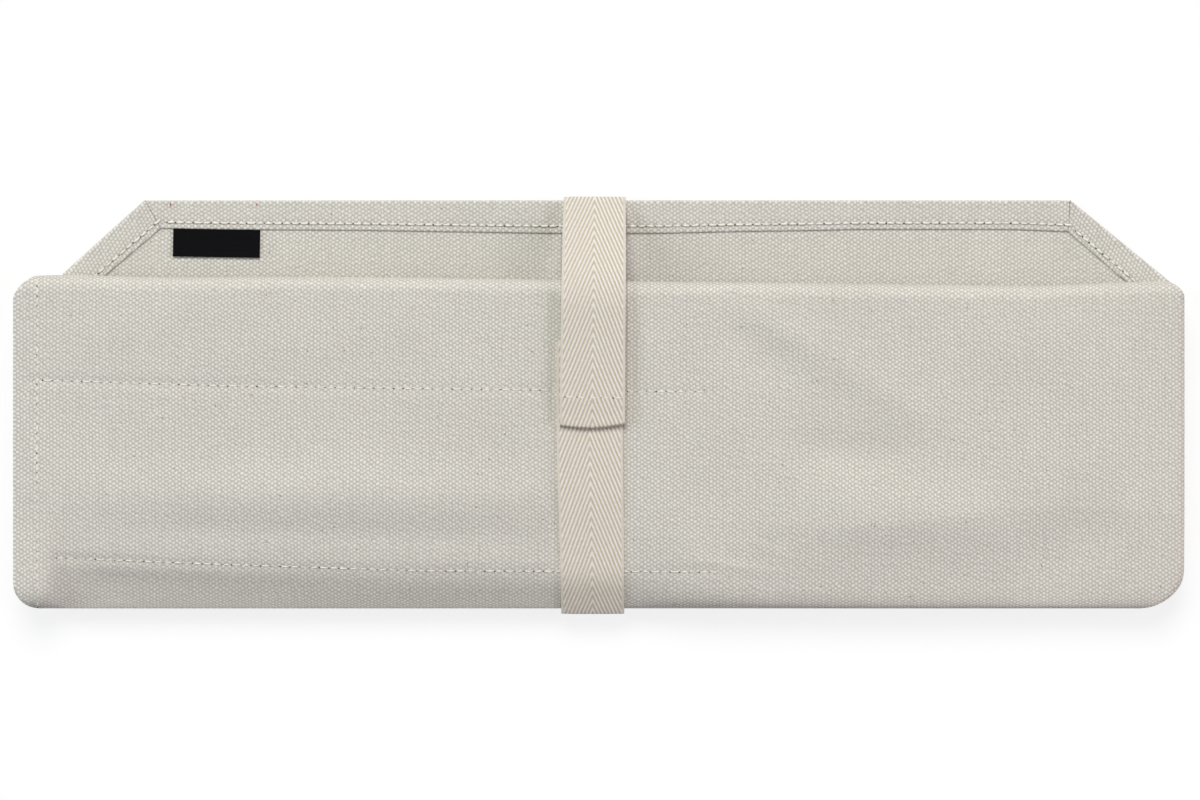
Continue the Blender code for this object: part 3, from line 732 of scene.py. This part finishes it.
def inner_turn(name, rows, side, reach, slack=0.0):
    """Cloth turned in at the left (a hem) or right (over the handles), from the side's outermost line inwards.

    It ends at reach, and slack is how far it sags towards the cloth that it is turned in from.
    """
    turn = np.radians(np.linspace(90, 180, 9))
    rest = np.linspace(0, 1, 12 if side < 0 else 60)[1:]
    grid = []
    for r in rows:
        left, right, curl = ends(r)
        edge, curl = (left, HEM_R) if side < 0 else (right, curl)
        start = edge - side * curl
        stop = reach if side > 0 else max(-reach, edge + 6)
        x = np.concatenate([edge - side * curl * (1 - np.sin(turn)), start + (stop - start) * rest])
        depth = np.concatenate([curl * (1 - np.cos(turn)), 2 * curl * np.ones_like(rest)])
        y, z, ny, nz, v, height = canvas_at(r, x)
        settled = smooth((np.abs(x - edge) - curl) / 12)
        depth = depth - slack * settled * (0.5 + 0.5 * swell(x * 1.7, y * 1.3))
        depth = depth - 0.6 * slack * smooth(1 - np.abs(x - reach) / 1.6)
        lift = height * (1 - settled) * smooth(2 - depth / curl) - depth
        grid.append(strip(x, y + ny * lift, z + nz * lift, 2 * edge - x, v))
    return fabric(name, grid)


class KNIFEROLL_OT_hems(bpy.types.Operator):
    """Turn the hems round the flap, down the left side and across the inner end"""

    bl_idname = "knife_roll.hems"
    bl_label = "Hems"

    def execute(self, context):
        for index, node in enumerate(("back_side_hem", "flap_hem_left", "flap_hem_top", "flap_hem_right")):
            piece = flap_hem(node.replace("hem", "turned"), index)
            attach(piece, "back")
            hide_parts(node)
        reach = HALF_WIDTH - SIDE_HEM_WIDTH
        bend_bottom(inner_turn("bottom_side_turned", np.linspace(-0.997, -0.003, 14), -1, reach), "back")
        rows = [*np.linspace(0.003, 1, 14)[:-1], *np.linspace(1, 2, 60), *np.linspace(2, 2.98, 12)[1:]]
        piece = inner_turn("front_side_turned", rows, -1, reach)
        bend_bottom(piece, "front")
        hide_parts("front_side_hem")
        rows = [*np.linspace(3.02, 4, 12), *np.linspace(4, 4.78, 24)[1:]]
        piece = inner_turn("inner_side_turned", rows, -1, reach)
        bend_top(piece)
        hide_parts("inner_side_hem")
        x = np.linspace(-HALF_WIDTH + 1.2, high("inner_end_hem")[0], 200)
        profile = [(INNER_END_Y + distance, INNER_Z + rise) for distance, rise in hem_profile()]
        piece = fabric("inner_end_turned", [strip(x, y, z, x, 400 - y) for y, z in profile])
        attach(piece, "inner")
        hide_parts("inner_end_hem")
        return {"FINISHED"}


def pocket_panel(name, seams, cloth_z, lifted_z, lie):
    """A pocket panel sewn down along its seams and its left end. lie(x, y) is how the canvas under it lies."""
    side = 1 if lifted_z > cloth_z else -1
    ys = np.unique(np.concatenate([np.linspace(a, b, max(8, int((b - a) / 1.3))) for a, b in zip(seams, seams[1:])]))
    mouth = POCKET_MOUTH_X - 0.5
    flat = [*np.linspace(POCKET_LEFT_X, POCKET_LEFT_X + 18, 16), *np.linspace(POCKET_LEFT_X + 20, mouth, 130)]
    turn = np.radians(EDGE_ROLL)
    x = np.array([*flat, *(mouth + 0.5 * np.sin(turn))])
    roll = np.concatenate([np.zeros(len(flat)), 0.5 * (1 - np.cos(turn))])
    grid = []
    for level in ys:
        y = np.full_like(x, level)
        index = min(int(np.searchsorted(seams, level, side="right")) - 1, len(seams) - 2)
        edge = min(level - seams[index], seams[index + 1] - level) - 1.2
        puff = smooth(edge / 9) * smooth((x - POCKET_LEFT_X - 2.4) / 14)
        pucker = 0.10 * np.sin(x * 2 * math.pi / 9) * math.exp(-((edge / 3.5) ** 2))
        sewn = cloth_z + side * HEM_LIFT + lie(x, y)
        slack = 0.35 * (0.5 + 0.5 * swell(x * 1.5, y * 1.8))
        z = sewn + (lifted_z - sewn) * puff - side * (slack * puff + roll - np.abs(pucker))
        grid.append(strip(x, y, z, x, y))
    return fabric(name, grid)


class KNIFEROLL_OT_pockets(bpy.types.Operator):
    """Sew the pocket panel's stretches to the back, the front and the inner end"""

    bl_idname = "knife_roll.pockets"
    bl_label = "Pockets"

    def execute(self, context):
        back_rows = (low("back_pocket")[1], *BACK_ROWS_Y[1:])
        front_rows = (*FRONT_POCKET_SEAMS, high("front_pocket")[1])
        inner_rows = (low("inner_pocket")[1], INNER_ROW_Y)
        panels = (
            ("back_pocket", back_rows, BACK_Z, BACK_POCKET_Z, lambda x, y: bed(x), "back"),
            ("front_pocket", front_rows, FRONT_Z, FRONT_POCKET_Z, front_rise, "front"),
            ("inner_pocket", inner_rows, INNER_Z, INNER_POCKET_Z, lambda x, y: 0.0 * x, "inner"),
        )
        for node, seams, cloth_z, lifted_z, lie, body in panels:
            piece = pocket_panel(f"{node}_panel", seams, cloth_z, lifted_z, lie)
            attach(piece, body)
            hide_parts(node)
            cut_size(piece)
        return {"FINISHED"}


class KNIFEROLL_OT_handle_flaps(bpy.types.Operator):
    """Fold the canvas in at the right side, over where the handles lie"""

    bl_idname = "knife_roll.handle_flaps"
    bl_label = "Handle flaps"

    def execute(self, context):
        top = -1 - (high("back_handle_flap")[1] - FOLD_Y) / (FLAP_TOP_Y - HALF - HEM_R - FOLD_Y)
        bend = np.linspace(0.003, 0.997, 14)
        stretches = (
            ("back_handle_flap", [*np.linspace(top, -1, 60), *(bend - 1)]),
            ("front_handle_flap", [*bend, *np.linspace(1, 2, 66), *(2 + 0.98 * bend)]),
            ("inner_handle_flap", np.linspace(4.006, 4.98, 34)),
        )
        for node, rows in stretches:
            piece = inner_turn(f"{node}_fold", rows, 1, HANDLE_FLAP_X, slack=0.35)
            if node == "inner_handle_flap":
                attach(piece, "inner")
            else:
                bend_bottom(piece, node.split("_")[0])
            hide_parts(node)
            cut_size(piece)
        return {"FINISHED"}


def arc(y, z, reach, height, start, end, steps):
    """Points on an ellipse, by angles in degrees from straight down, growing towards +y."""
    angles = np.radians(np.linspace(start, end, steps))
    return np.column_stack([y + reach * np.sin(angles), z - height * np.cos(angles)])


def tape_piece(name, path, from_length, edges, nodes, bow=0.0):
    """A stretch of tape along a path of (y, z), with a slightly crowned face. The weave runs on from from_length.

    edges holds the ys at which the tape's left and right edges are known, and both at each. bow draws the sides of
    the tape's low end up. Returns how far the weave has run at the path's end.
    """
    path = np.array(path)
    across = np.linspace(-1, 1, 19)
    step = np.gradient(path, axis=0)
    step /= np.linalg.norm(step, axis=1)[:, None]
    length = from_length - np.concatenate([[0], np.cumsum(np.linalg.norm(np.diff(path, axis=0), axis=1))])
    crown = 0.12 * (1 - across**4) - 0.06
    lefts, rights = (np.interp(path[:, 0], edges[0], side) for side in edges[1:])
    grid = []
    for (y, z), (run_y, run_z), v, left, right in zip(path, step, length, lefts, rights):
        x = (left + right) / 2 + across * (right - left) / 2
        bowed = bow * smooth((18 - y) / 18) * (across**2 + 0.25 * across)
        grid.append(strip(x, y + bowed + run_z * crown, z - run_y * crown, across * TAPE_HALF, v))
    piece = fabric(name, grid, TAPE - 0.1, tape())
    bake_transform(piece)
    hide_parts(*nodes)
    return length[-1]


class KNIFEROLL_OT_strap(bpy.types.Operator):
    """Run the tape up the front, round the bottom and the back, over the flap and down to its turned end"""

    bl_idname = "knife_roll.strap"
    bl_label = "Strap"

    def execute(self, context):
        front_z, back_z = middle("strap_front")[2], TAPE / 2
        run_z = high("strap_run")[2] - TAPE / 2
        mid_z, height = (front_z + back_z) / 2, (front_z - back_z) / 2
        reach = FOLD_Y - low("strap_bottom_bend")[1] - TAPE / 2
        # down the front, then round the bottom to its outermost line
        bend = FOLD_Y - reach * np.sin(np.linspace(0, math.pi / 2, 16)[1:])
        down = np.concatenate([np.linspace(high("strap_front")[1], FOLD_Y, 60), bend])
        path = np.column_stack([down, front_z - shoulder_drop(np.full_like(down, STRAP_X), down, reach, height)])
        length = tape_piece("strap_up_front", path, 0.0, LOWER_TAPE, ("strap_front",))
        # on round the bottom and half way up the back
        halfway = (0.0, back_z)
        path = [*arc(FOLD_Y, mid_z, -reach, height, 90, 0, 16), *np.linspace((FOLD_Y, back_z), halfway, 40)[1:]]
        length = tape_piece("strap_round_bottom", path, length, BACK_TAPE, ("strap_bottom_bend",))
        # over the flap's edge and half way up its rise
        bend_y = high("strap_back")[1] + CAD_GAP
        bend = arc(bend_y, back_z + EDGE_TURN_R, EDGE_TURN_R, EDGE_TURN_R, 0, 180 - CLIMB, 16)
        foot = bend[-1]
        climb = np.array([-math.cos(math.radians(CLIMB)), math.sin(math.radians(CLIMB))])
        corner = foot + climb * (run_z - foot[1]) / climb[1]
        run_in = SHOULDER_TURN_R * math.tan(math.radians(CLIMB / 2))
        half = foot + (corner - climb * run_in - foot) * 0.5
        path = [*np.linspace(halfway, (bend_y, back_z), 40), *bend[1:], *np.linspace(foot, half, 12)[1:]]
        nodes = ("strap_back", "strap_top_bend", "strap_rise")
        length = tape_piece("strap_over_edge", path, length, EDGE_TAPE, nodes)
        # the rest of the rise, over the shoulder and along the front
        shoulder = arc(
            corner[0] - run_in, run_z - SHOULDER_TURN_R, SHOULDER_TURN_R, SHOULDER_TURN_R, 180 - CLIMB, 180, 14
        )
        seam = (END_START_Y, run_z)
        path = [*np.linspace(half, shoulder[0], 12), *shoulder[1:], *np.linspace(shoulder[-1], seam, 14)[1:]]
        length = tape_piece("strap_down_front", path, length, UPPER_TAPE, ("strap_run",))
        # the end, turned under on itself
        under_y, under_z = low("strap_end")[1:] + TAPE / 2
        bend_r = (run_z - under_z) / 2
        tip_y = under_y + bend_r
        path = np.array([
            *np.linspace(seam, (tip_y, run_z), 34),
            *arc(tip_y, (run_z + under_z) / 2, -bend_r, bend_r, 180, 0, 11)[1:],
            *np.linspace((tip_y, under_z), (low("strap_end")[1] + TURNED_UNDER, under_z), 10)[1:],
        ])
        path[:, 1] -= 0.55 * smooth((3 - path[:, 0]) / 9)  # past the patches the end dips to the front
        tape_piece("strap_turned_end", path, length, UPPER_TAPE, ("strap_end",), bow=1.3)
        return {"FINISHED"}


def copies_tree():
    """Geometry Nodes: rounded copies along every edge path of a mesh, all of one size, pointing along the path."""
    known = bpy.data.node_groups.get("Copies along a row")
    if known:
        return known
    tree = bpy.data.node_groups.new("Copies along a row", "GeometryNodeTree")
    sockets = (
        ("Geometry", "INPUT", "NodeSocketGeometry"),
        ("Pitch", "INPUT", "NodeSocketFloat"),
        ("Shift", "INPUT", "NodeSocketFloat"),
        ("Size", "INPUT", "NodeSocketVector"),
        ("Least", "INPUT", "NodeSocketFloat"),
        ("Finish", "INPUT", "NodeSocketMaterial"),
        ("Geometry", "OUTPUT", "NodeSocketGeometry"),
    )
    for name, way, kind in sockets:
        tree.interface.new_socket(name=name, in_out=way, socket_type=kind)
    add = partial(add_node, tree)
    given = add("NodeGroupInput").node.outputs
    line = add("GeometryNodeMeshToCurve", {"Mesh": given["Geometry"]})
    values = {"Curve": line, "Length": given["Pitch"]}
    spots = add("GeometryNodeCurveToPoints", values, mode="LENGTH").node.outputs
    offset = add("VectorMath", {0: spots["Tangent"], "Scale": given["Shift"]}, operation="SCALE")
    moved = add("GeometryNodeSetPosition", {"Geometry": spots["Points"], "Offset": offset})
    turned = add("FunctionNodeAlignRotationToVector", {"Vector": spots["Tangent"]}, axis="X")
    ball = add("GeometryNodeMeshUVSphere", {"Segments": 8, "Rings": 5, "Radius": 1.0}, out="Mesh")
    bead = add("GeometryNodeTransform", {"Geometry": ball, "Scale": given["Size"]})
    uneven = add("FunctionNodeRandomValue", {2: given["Least"], 3: 1.12, "Seed": 7}, out=1, data_type="FLOAT")
    values = {"Points": moved, "Instance": bead, "Rotation": turned, "Scale": uneven}
    placed = add("GeometryNodeInstanceOnPoints", values)
    for kind in ("GeometryNodeRealizeInstances", "GeometryNodeSetShadeSmooth"):
        placed = add(kind, {"Geometry": placed})
    done = add("GeometryNodeSetMaterial", {"Geometry": placed, "Material": given["Finish"]})
    add("NodeGroupOutput", {"Geometry": done})
    return tree


def copies(name, rows, pitch, size, material, shift=0.0, least=LEAST_STITCH):
    """One mesh of copies along each row of points. The smallest has least of the size that is given."""
    mesh = bpy.data.meshes.new(name)
    places, edges = [], []
    for row in rows:
        first = len(places)
        places += (np.array(row) * MM).tolist()
        edges += [(i, i + 1) for i in range(first, len(places) - 1)]
    mesh.from_pydata(places, edges, [])
    obj = new_object(name, mesh)
    tree = copies_tree()
    nodes = obj.modifiers.new("Copies", "NODES")
    nodes.node_group = tree
    sockets = {s.name: s.identifier for s in tree.interface.items_tree if s.in_out == "INPUT"}
    lengths = {"Pitch": pitch * MM, "Shift": shift * MM, "Size": [s * MM for s in size]}
    for socket, value in {**lengths, "Least": least, "Finish": material}.items():
        nodes[sockets[socket]] = value
    obj.update_tag()
    bpy.context.view_layer.update()
    return settle(obj, material)


def sewn(line, z, step=2.0):
    """Points along a row of stitches, close enough to follow the cloth. z is their height, or gives it from x and y."""
    line = np.array(line, float)
    length = np.concatenate([[0], np.cumsum(np.linalg.norm(np.diff(line, axis=0), axis=1))])
    at = np.linspace(0, length[-1], max(2, int(length[-1] / step)))
    x, y = np.interp(at, length, line[:, 0]), np.interp(at, length, line[:, 1])
    return strip(x, y, z(x, y) if callable(z) else z)


class KNIFEROLL_OT_stitches(bpy.types.Operator):
    """Sew the rows of stitches, with their needle holes"""

    bl_idname = "knife_roll.stitches"
    bl_label = "Stitches"

    def execute(self, context):
        look = context.scene.knife_roll_trim
        cotton = thread("Sewing thread, cotton", look.thread)
        # dark beads at the needle holes, as painted shade inside the holes
        hole = thread("Needle hole, shaded cotton", look.hole)
        left, right = POCKET_LEFT_X + 2, POCKET_MOUTH_X - 1
        front = [sewn(row, lambda x, y: FRONT_Z + HALF + front_rise(x, y)) for row in FRONT_ROWS.values()]
        side = []
        for r in [*np.linspace(0.25, 1, 8)[:-1], *np.linspace(1, 2, 70), *np.linspace(2, 2.6, 6)[1:]]:
            y, z, ny, nz, _, height = canvas_at(r, np.array([SIDE_ROW_X]))
            lift = height[0] + HALF
            side.append((SIDE_ROW_X, y[0] + ny * lift, z[0] + nz * lift))
        front.append(side)
        for seam in FRONT_POCKET_SEAMS:
            front.append(sewn([(left, seam), (right, seam)], lambda x, y: FRONT_Z - HEM_LIFT - HALF + front_rise(x, y)))
        hems = []
        for index in range(len(FLAP_OUTLINE) - 1):
            outer, inner = flap_side(index, 200)
            plan = inner + (outer - inner) * HEM_ROW_IN / HEM_WIDTH
            gone = np.linalg.norm(plan - plan[0], axis=1)
            x, y = plan[(gone > 3.4) & (gone < gone[-1] - 1.6)].T  # clear of the mitres
            lift = back_height(x, y)
            hems.append(strip(x, y, BACK_Z + HEM_LIFT + HALF - 0.16 + lift))
            hems.append(strip(x, y, BACK_THREAD_Z + np.maximum(lift, 0)))
        back = [
            sewn([(start, y), (end, y)], z)
            for y in BACK_ROWS_Y
            for start, end in ((left, STRAP_X - TAPE_HALF - 7), (STRAP_X + TAPE_HALF + 7, right))
            for z in (BACK_THREAD_Z, BACK_Z + HEM_LIFT + HALF)
        ]
        hem_y = INNER_END_Y + HEM_WIDTH - HEM_ROW_IN
        inner = [
            sewn([(start, y), (end, y)], z)
            for start, end, y in ((left, right, INNER_ROW_Y), (-HALF_WIDTH + 12, HALF_WIDTH - 10, hem_y))
            for z in (INNER_Z + HEM_LIFT + HALF, INNER_Z - HALF)
        ]
        tip = [(STRAP_X - TAPE_HALF + 1.4, 3.2), (STRAP_X + TAPE_HALF - 4.4, 2.8)]
        rows = (
            ("front", "front", front),
            ("hems", "back", hems),
            ("back", "back", back),
            ("inner", "inner", inner),
            ("tip", "strap_tip", [sewn(tip, high("strap_end")[2] - 0.06, 1.0)]),
        )
        for place, body, lines in rows:
            pitch, size, least = STITCH_PITCH, STITCH, LEAST_STITCH
            if place == "hems":
                pitch, size, least = HEM_STITCH_PITCH, HEM_STITCH, LEAST_HEM_STITCH
            for piece in (
                copies(f"{place}_thread", lines, pitch, size, cotton, shift=pitch / 2, least=least),
                copies(f"{place}_needle_holes", lines, pitch, NEEDLE_HOLE, hole),
            ):
                if place == "front":
                    bend_bottom(piece, "front")
                else:
                    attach(piece, body)
        return {"FINISHED"}


class KNIFEROLL_OT_patches(bpy.types.Operator):
    """Fix the hook patch under the strap's end and the loop patch under it"""

    bl_idname = "knife_roll.patches"
    bl_label = "Hook and loop patches"

    def execute(self, context):
        look = context.scene.knife_roll_trim
        # nylon hook and loop tape, woven and heat-set: a felted ground under rows of short pale hooks or loops,
        # which are too fine to show, so they are drawn about 1.1 mm apart
        ground = speckled("Hook and loop ground, nylon", look.patch, 0.8, 1500.0, 0.45, 1.45, sheen=0.2, relief=0.2)
        pile_yarn = thread("Hooks and loops, nylon", look.patch)
        for node, body, outward in (("hook_patch", "strap_tip", -1), ("loop_patch", "front", 1)):
            lo, hi = low(node), high(node)
            xs, ys = [np.linspace(lo[i] + PATCH_IN, hi[i] - PATCH_IN, count) for i, count in enumerate((20, 16))]
            z = middle(node)[2] - outward * 0.1
            piece = fabric(f"{node}_ground", [strip(xs, y, z, xs, y) for y in ys], PATCH_CLOTH, ground)
            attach(piece, body)
            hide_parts(node)
            tops = z + outward * 0.2
            ys = np.arange(lo[1] + 0.9, hi[1] - 0.6, PILE_ROWS)
            lines = [[(lo[0] + 0.8, y, tops), (hi[0] - 0.8, y, tops)] for y in ys]
            size = HOOK if node == "hook_patch" else LOOP
            pile = copies(f"{node}_pile", lines, PILE_PITCH, size, pile_yarn)
            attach(pile, body)
        return {"FINISHED"}


class KNIFEROLL_OT_label(bpy.types.Operator):
    """Tuck the blank woven label under the flap's hem, tacked with coloured thread"""

    bl_idname = "knife_roll.label"
    bl_label = "Blank label"

    def execute(self, context):
        look = context.scene.knife_roll_trim
        root_y, label_z = high("blank_label")[1], middle("blank_label")[2]
        c, s = math.cos(LABEL_TILT), math.sin(LABEL_TILT)
        across = np.linspace(-LABEL_HALF, LABEL_HALF, 40)
        grid = []
        for down in LABEL_DROP * np.linspace(0, 1, 24) ** 1.6:
            x, y = LABEL_X + across * c + down * s, root_y + 0.1 + across * s - down * c
            curl = 0.35 * smooth((down - 4) / 7) * (0.5 + 0.5 * np.abs(across) / LABEL_HALF)
            grid.append(strip(x, y, label_z + curl, across, down))
        material = shared("Damask label, black polyester", label_damask, look)
        piece = fabric("blank_woven_label", grid, LABEL_CLOTH, material)
        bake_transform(piece)
        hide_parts("blank_label")
        tick = thread("Tack thread, red cotton", look.tick)
        tacked = [[(x, FLAP_TOP_Y - 1.6, 2.9), (x + 0.1, FLAP_TOP_Y - 0.6, 2.7)] for x in (-172.4, -137.6)]
        tacks = copies("label_tacks", tacked, 1.2, (0.7, 0.28, 0.2), tick)
        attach(tacks, "back")
        return {"FINISHED"}


class KNIFEROLL_OT_stage(bpy.types.Operator):
    """Set the white table, the lamps and the camera straight above"""

    bl_idname = "knife_roll.stage"
    bl_label = "Table, lamps and camera"

    def execute(self, context):
        scene = context.scene
        bpy.ops.mesh.primitive_plane_add(size=6, location=(0, 0, -0.25 * MM))
        table = context.object
        table.name = "table"
        material, add = finish("Table, white laminate", 0.7)
        # the table shows nearly white, with a share of the shadow that falls on it, and lights the roll as white does
        nodes = material.node_tree.nodes
        shader = nodes["Principled BSDF"]
        shader.inputs["Base Color"].default_value = linear("#e7e7e7")
        seen = add("BsdfDiffuse", {"Color": (0.22, 0.22, 0.22, 1)})
        glow = add("Emission", {"Color": (1, 1, 1, 1), "Strength": 0.80})
        bright = add("AddShader", seen, glow)
        rays = add("LightPath").node.outputs
        looked = rays["Is Camera Ray"]
        for other in ("Is Glossy Ray", "Is Transmission Ray"):
            looked = add("Math", looked, rays[other], operation="MAXIMUM")
        both = add("MixShader", looked, shader.outputs[0], bright)
        material.node_tree.links.new(both, nodes["Material Output"].inputs["Surface"])
        table.data.materials.append(material)

        scene.world = bpy.data.worlds.new("Studio")
        scene.world.use_nodes = True
        sky = scene.world.node_tree.nodes["Background"].inputs
        sky["Color"].default_value, sky["Strength"].default_value = (1, 1, 1, 1), 0.12
        # suns by their direction and the angle they spread over, and bounce lamps by their place and radius
        for name, kind, place, strength, tint, spread in (
            ("key", "SUN", (-0.07, 0.63, 0.79), 2.25, (1.0, 0.985, 0.95), math.radians(34)),
            ("left", "SUN", (-0.88, 0.08, 0.42), 0.90, (0.82, 0.96, 1.0), math.radians(40)),
            ("right", "SUN", (0.88, -0.04, 0.42), 0.90, (0.93, 0.88, 1.0), math.radians(40)),
            ("left bounce", "POINT", (-0.52, 0.02, 0.34), 0.30, (0.70, 0.88, 1.0), 0.12),
            ("right bounce", "POINT", (0.44, -0.27, 0.22), 0.44, (1.0, 0.68, 0.70), 0.12),
        ):
            lamp = bpy.data.lights.new(name, kind)
            lamp.energy, lamp.color = strength, tint
            holder = new_object(name, lamp)
            if kind == "SUN":
                lamp.angle = spread
                holder.rotation_euler = Vector(place).to_track_quat("Z", "Y").to_euler()
            else:
                lamp.shadow_soft_size = spread
                holder.location = place

        camera = bpy.data.cameras.new("straight above")
        camera.sensor_width, camera.lens, camera.clip_end = 36.0, 240.0, 50.0
        scene.camera = new_object("straight above", camera)
        scene.camera.location = (0.4 * MM, 2.0 * MM, 3.22)
        scene.view_settings.view_transform = "Standard"
        return {"FINISHED"}


class KNIFEROLL_PT_panel(bpy.types.Panel):
    """The knife roll's pieces, sizes and colours"""

    bl_idname = "KNIFEROLL_PT_panel"
    bl_label = "Knife Roll"
    bl_space_type = "VIEW_3D"
    bl_region_type = "UI"
    bl_category = "Knife Roll"

    def draw(self, context):
        for group, names in GROUPS.items():
            box = self.layout.box()
            for name in names.__annotations__:
                box.prop(getattr(context.scene, group), name)
        for step in STEPS:
            self.layout.operator(step.bl_idname)


GROUPS = {
    "knife_roll_canvas": KNIFEROLL_PG_canvas,
    "knife_roll_tape": KNIFEROLL_PG_tape,
    "knife_roll_trim": KNIFEROLL_PG_trim,
}
STEPS = (
    KNIFEROLL_OT_outer_canvas,
    KNIFEROLL_OT_hems,
    KNIFEROLL_OT_pockets,
    KNIFEROLL_OT_handle_flaps,
    KNIFEROLL_OT_strap,
    KNIFEROLL_OT_patches,
    KNIFEROLL_OT_label,
    KNIFEROLL_OT_stitches,
    KNIFEROLL_OT_stage,
)
CLASSES = (*GROUPS.values(), *STEPS, KNIFEROLL_PT_panel)


def register():
    for kind in CLASSES:
        bpy.utils.register_class(kind)
    for name, kind in GROUPS.items():
        setattr(bpy.types.Scene, name, bpy.props.PointerProperty(type=kind))


def unregister():
    for name in GROUPS:
        delattr(bpy.types.Scene, name)
    for kind in reversed(CLASSES):
        bpy.utils.unregister_class(kind)


def main():
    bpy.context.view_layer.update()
    register()
    bpy.ops.knife_roll.outer_canvas()
    bpy.ops.knife_roll.hems()
    bpy.ops.knife_roll.pockets()
    bpy.ops.knife_roll.handle_flaps()
    bpy.ops.knife_roll.strap()
    bpy.ops.knife_roll.patches()
    bpy.ops.knife_roll.label()
    bpy.ops.knife_roll.stitches()
    bpy.ops.knife_roll.stage()


if __name__ == "__main__":
    main()
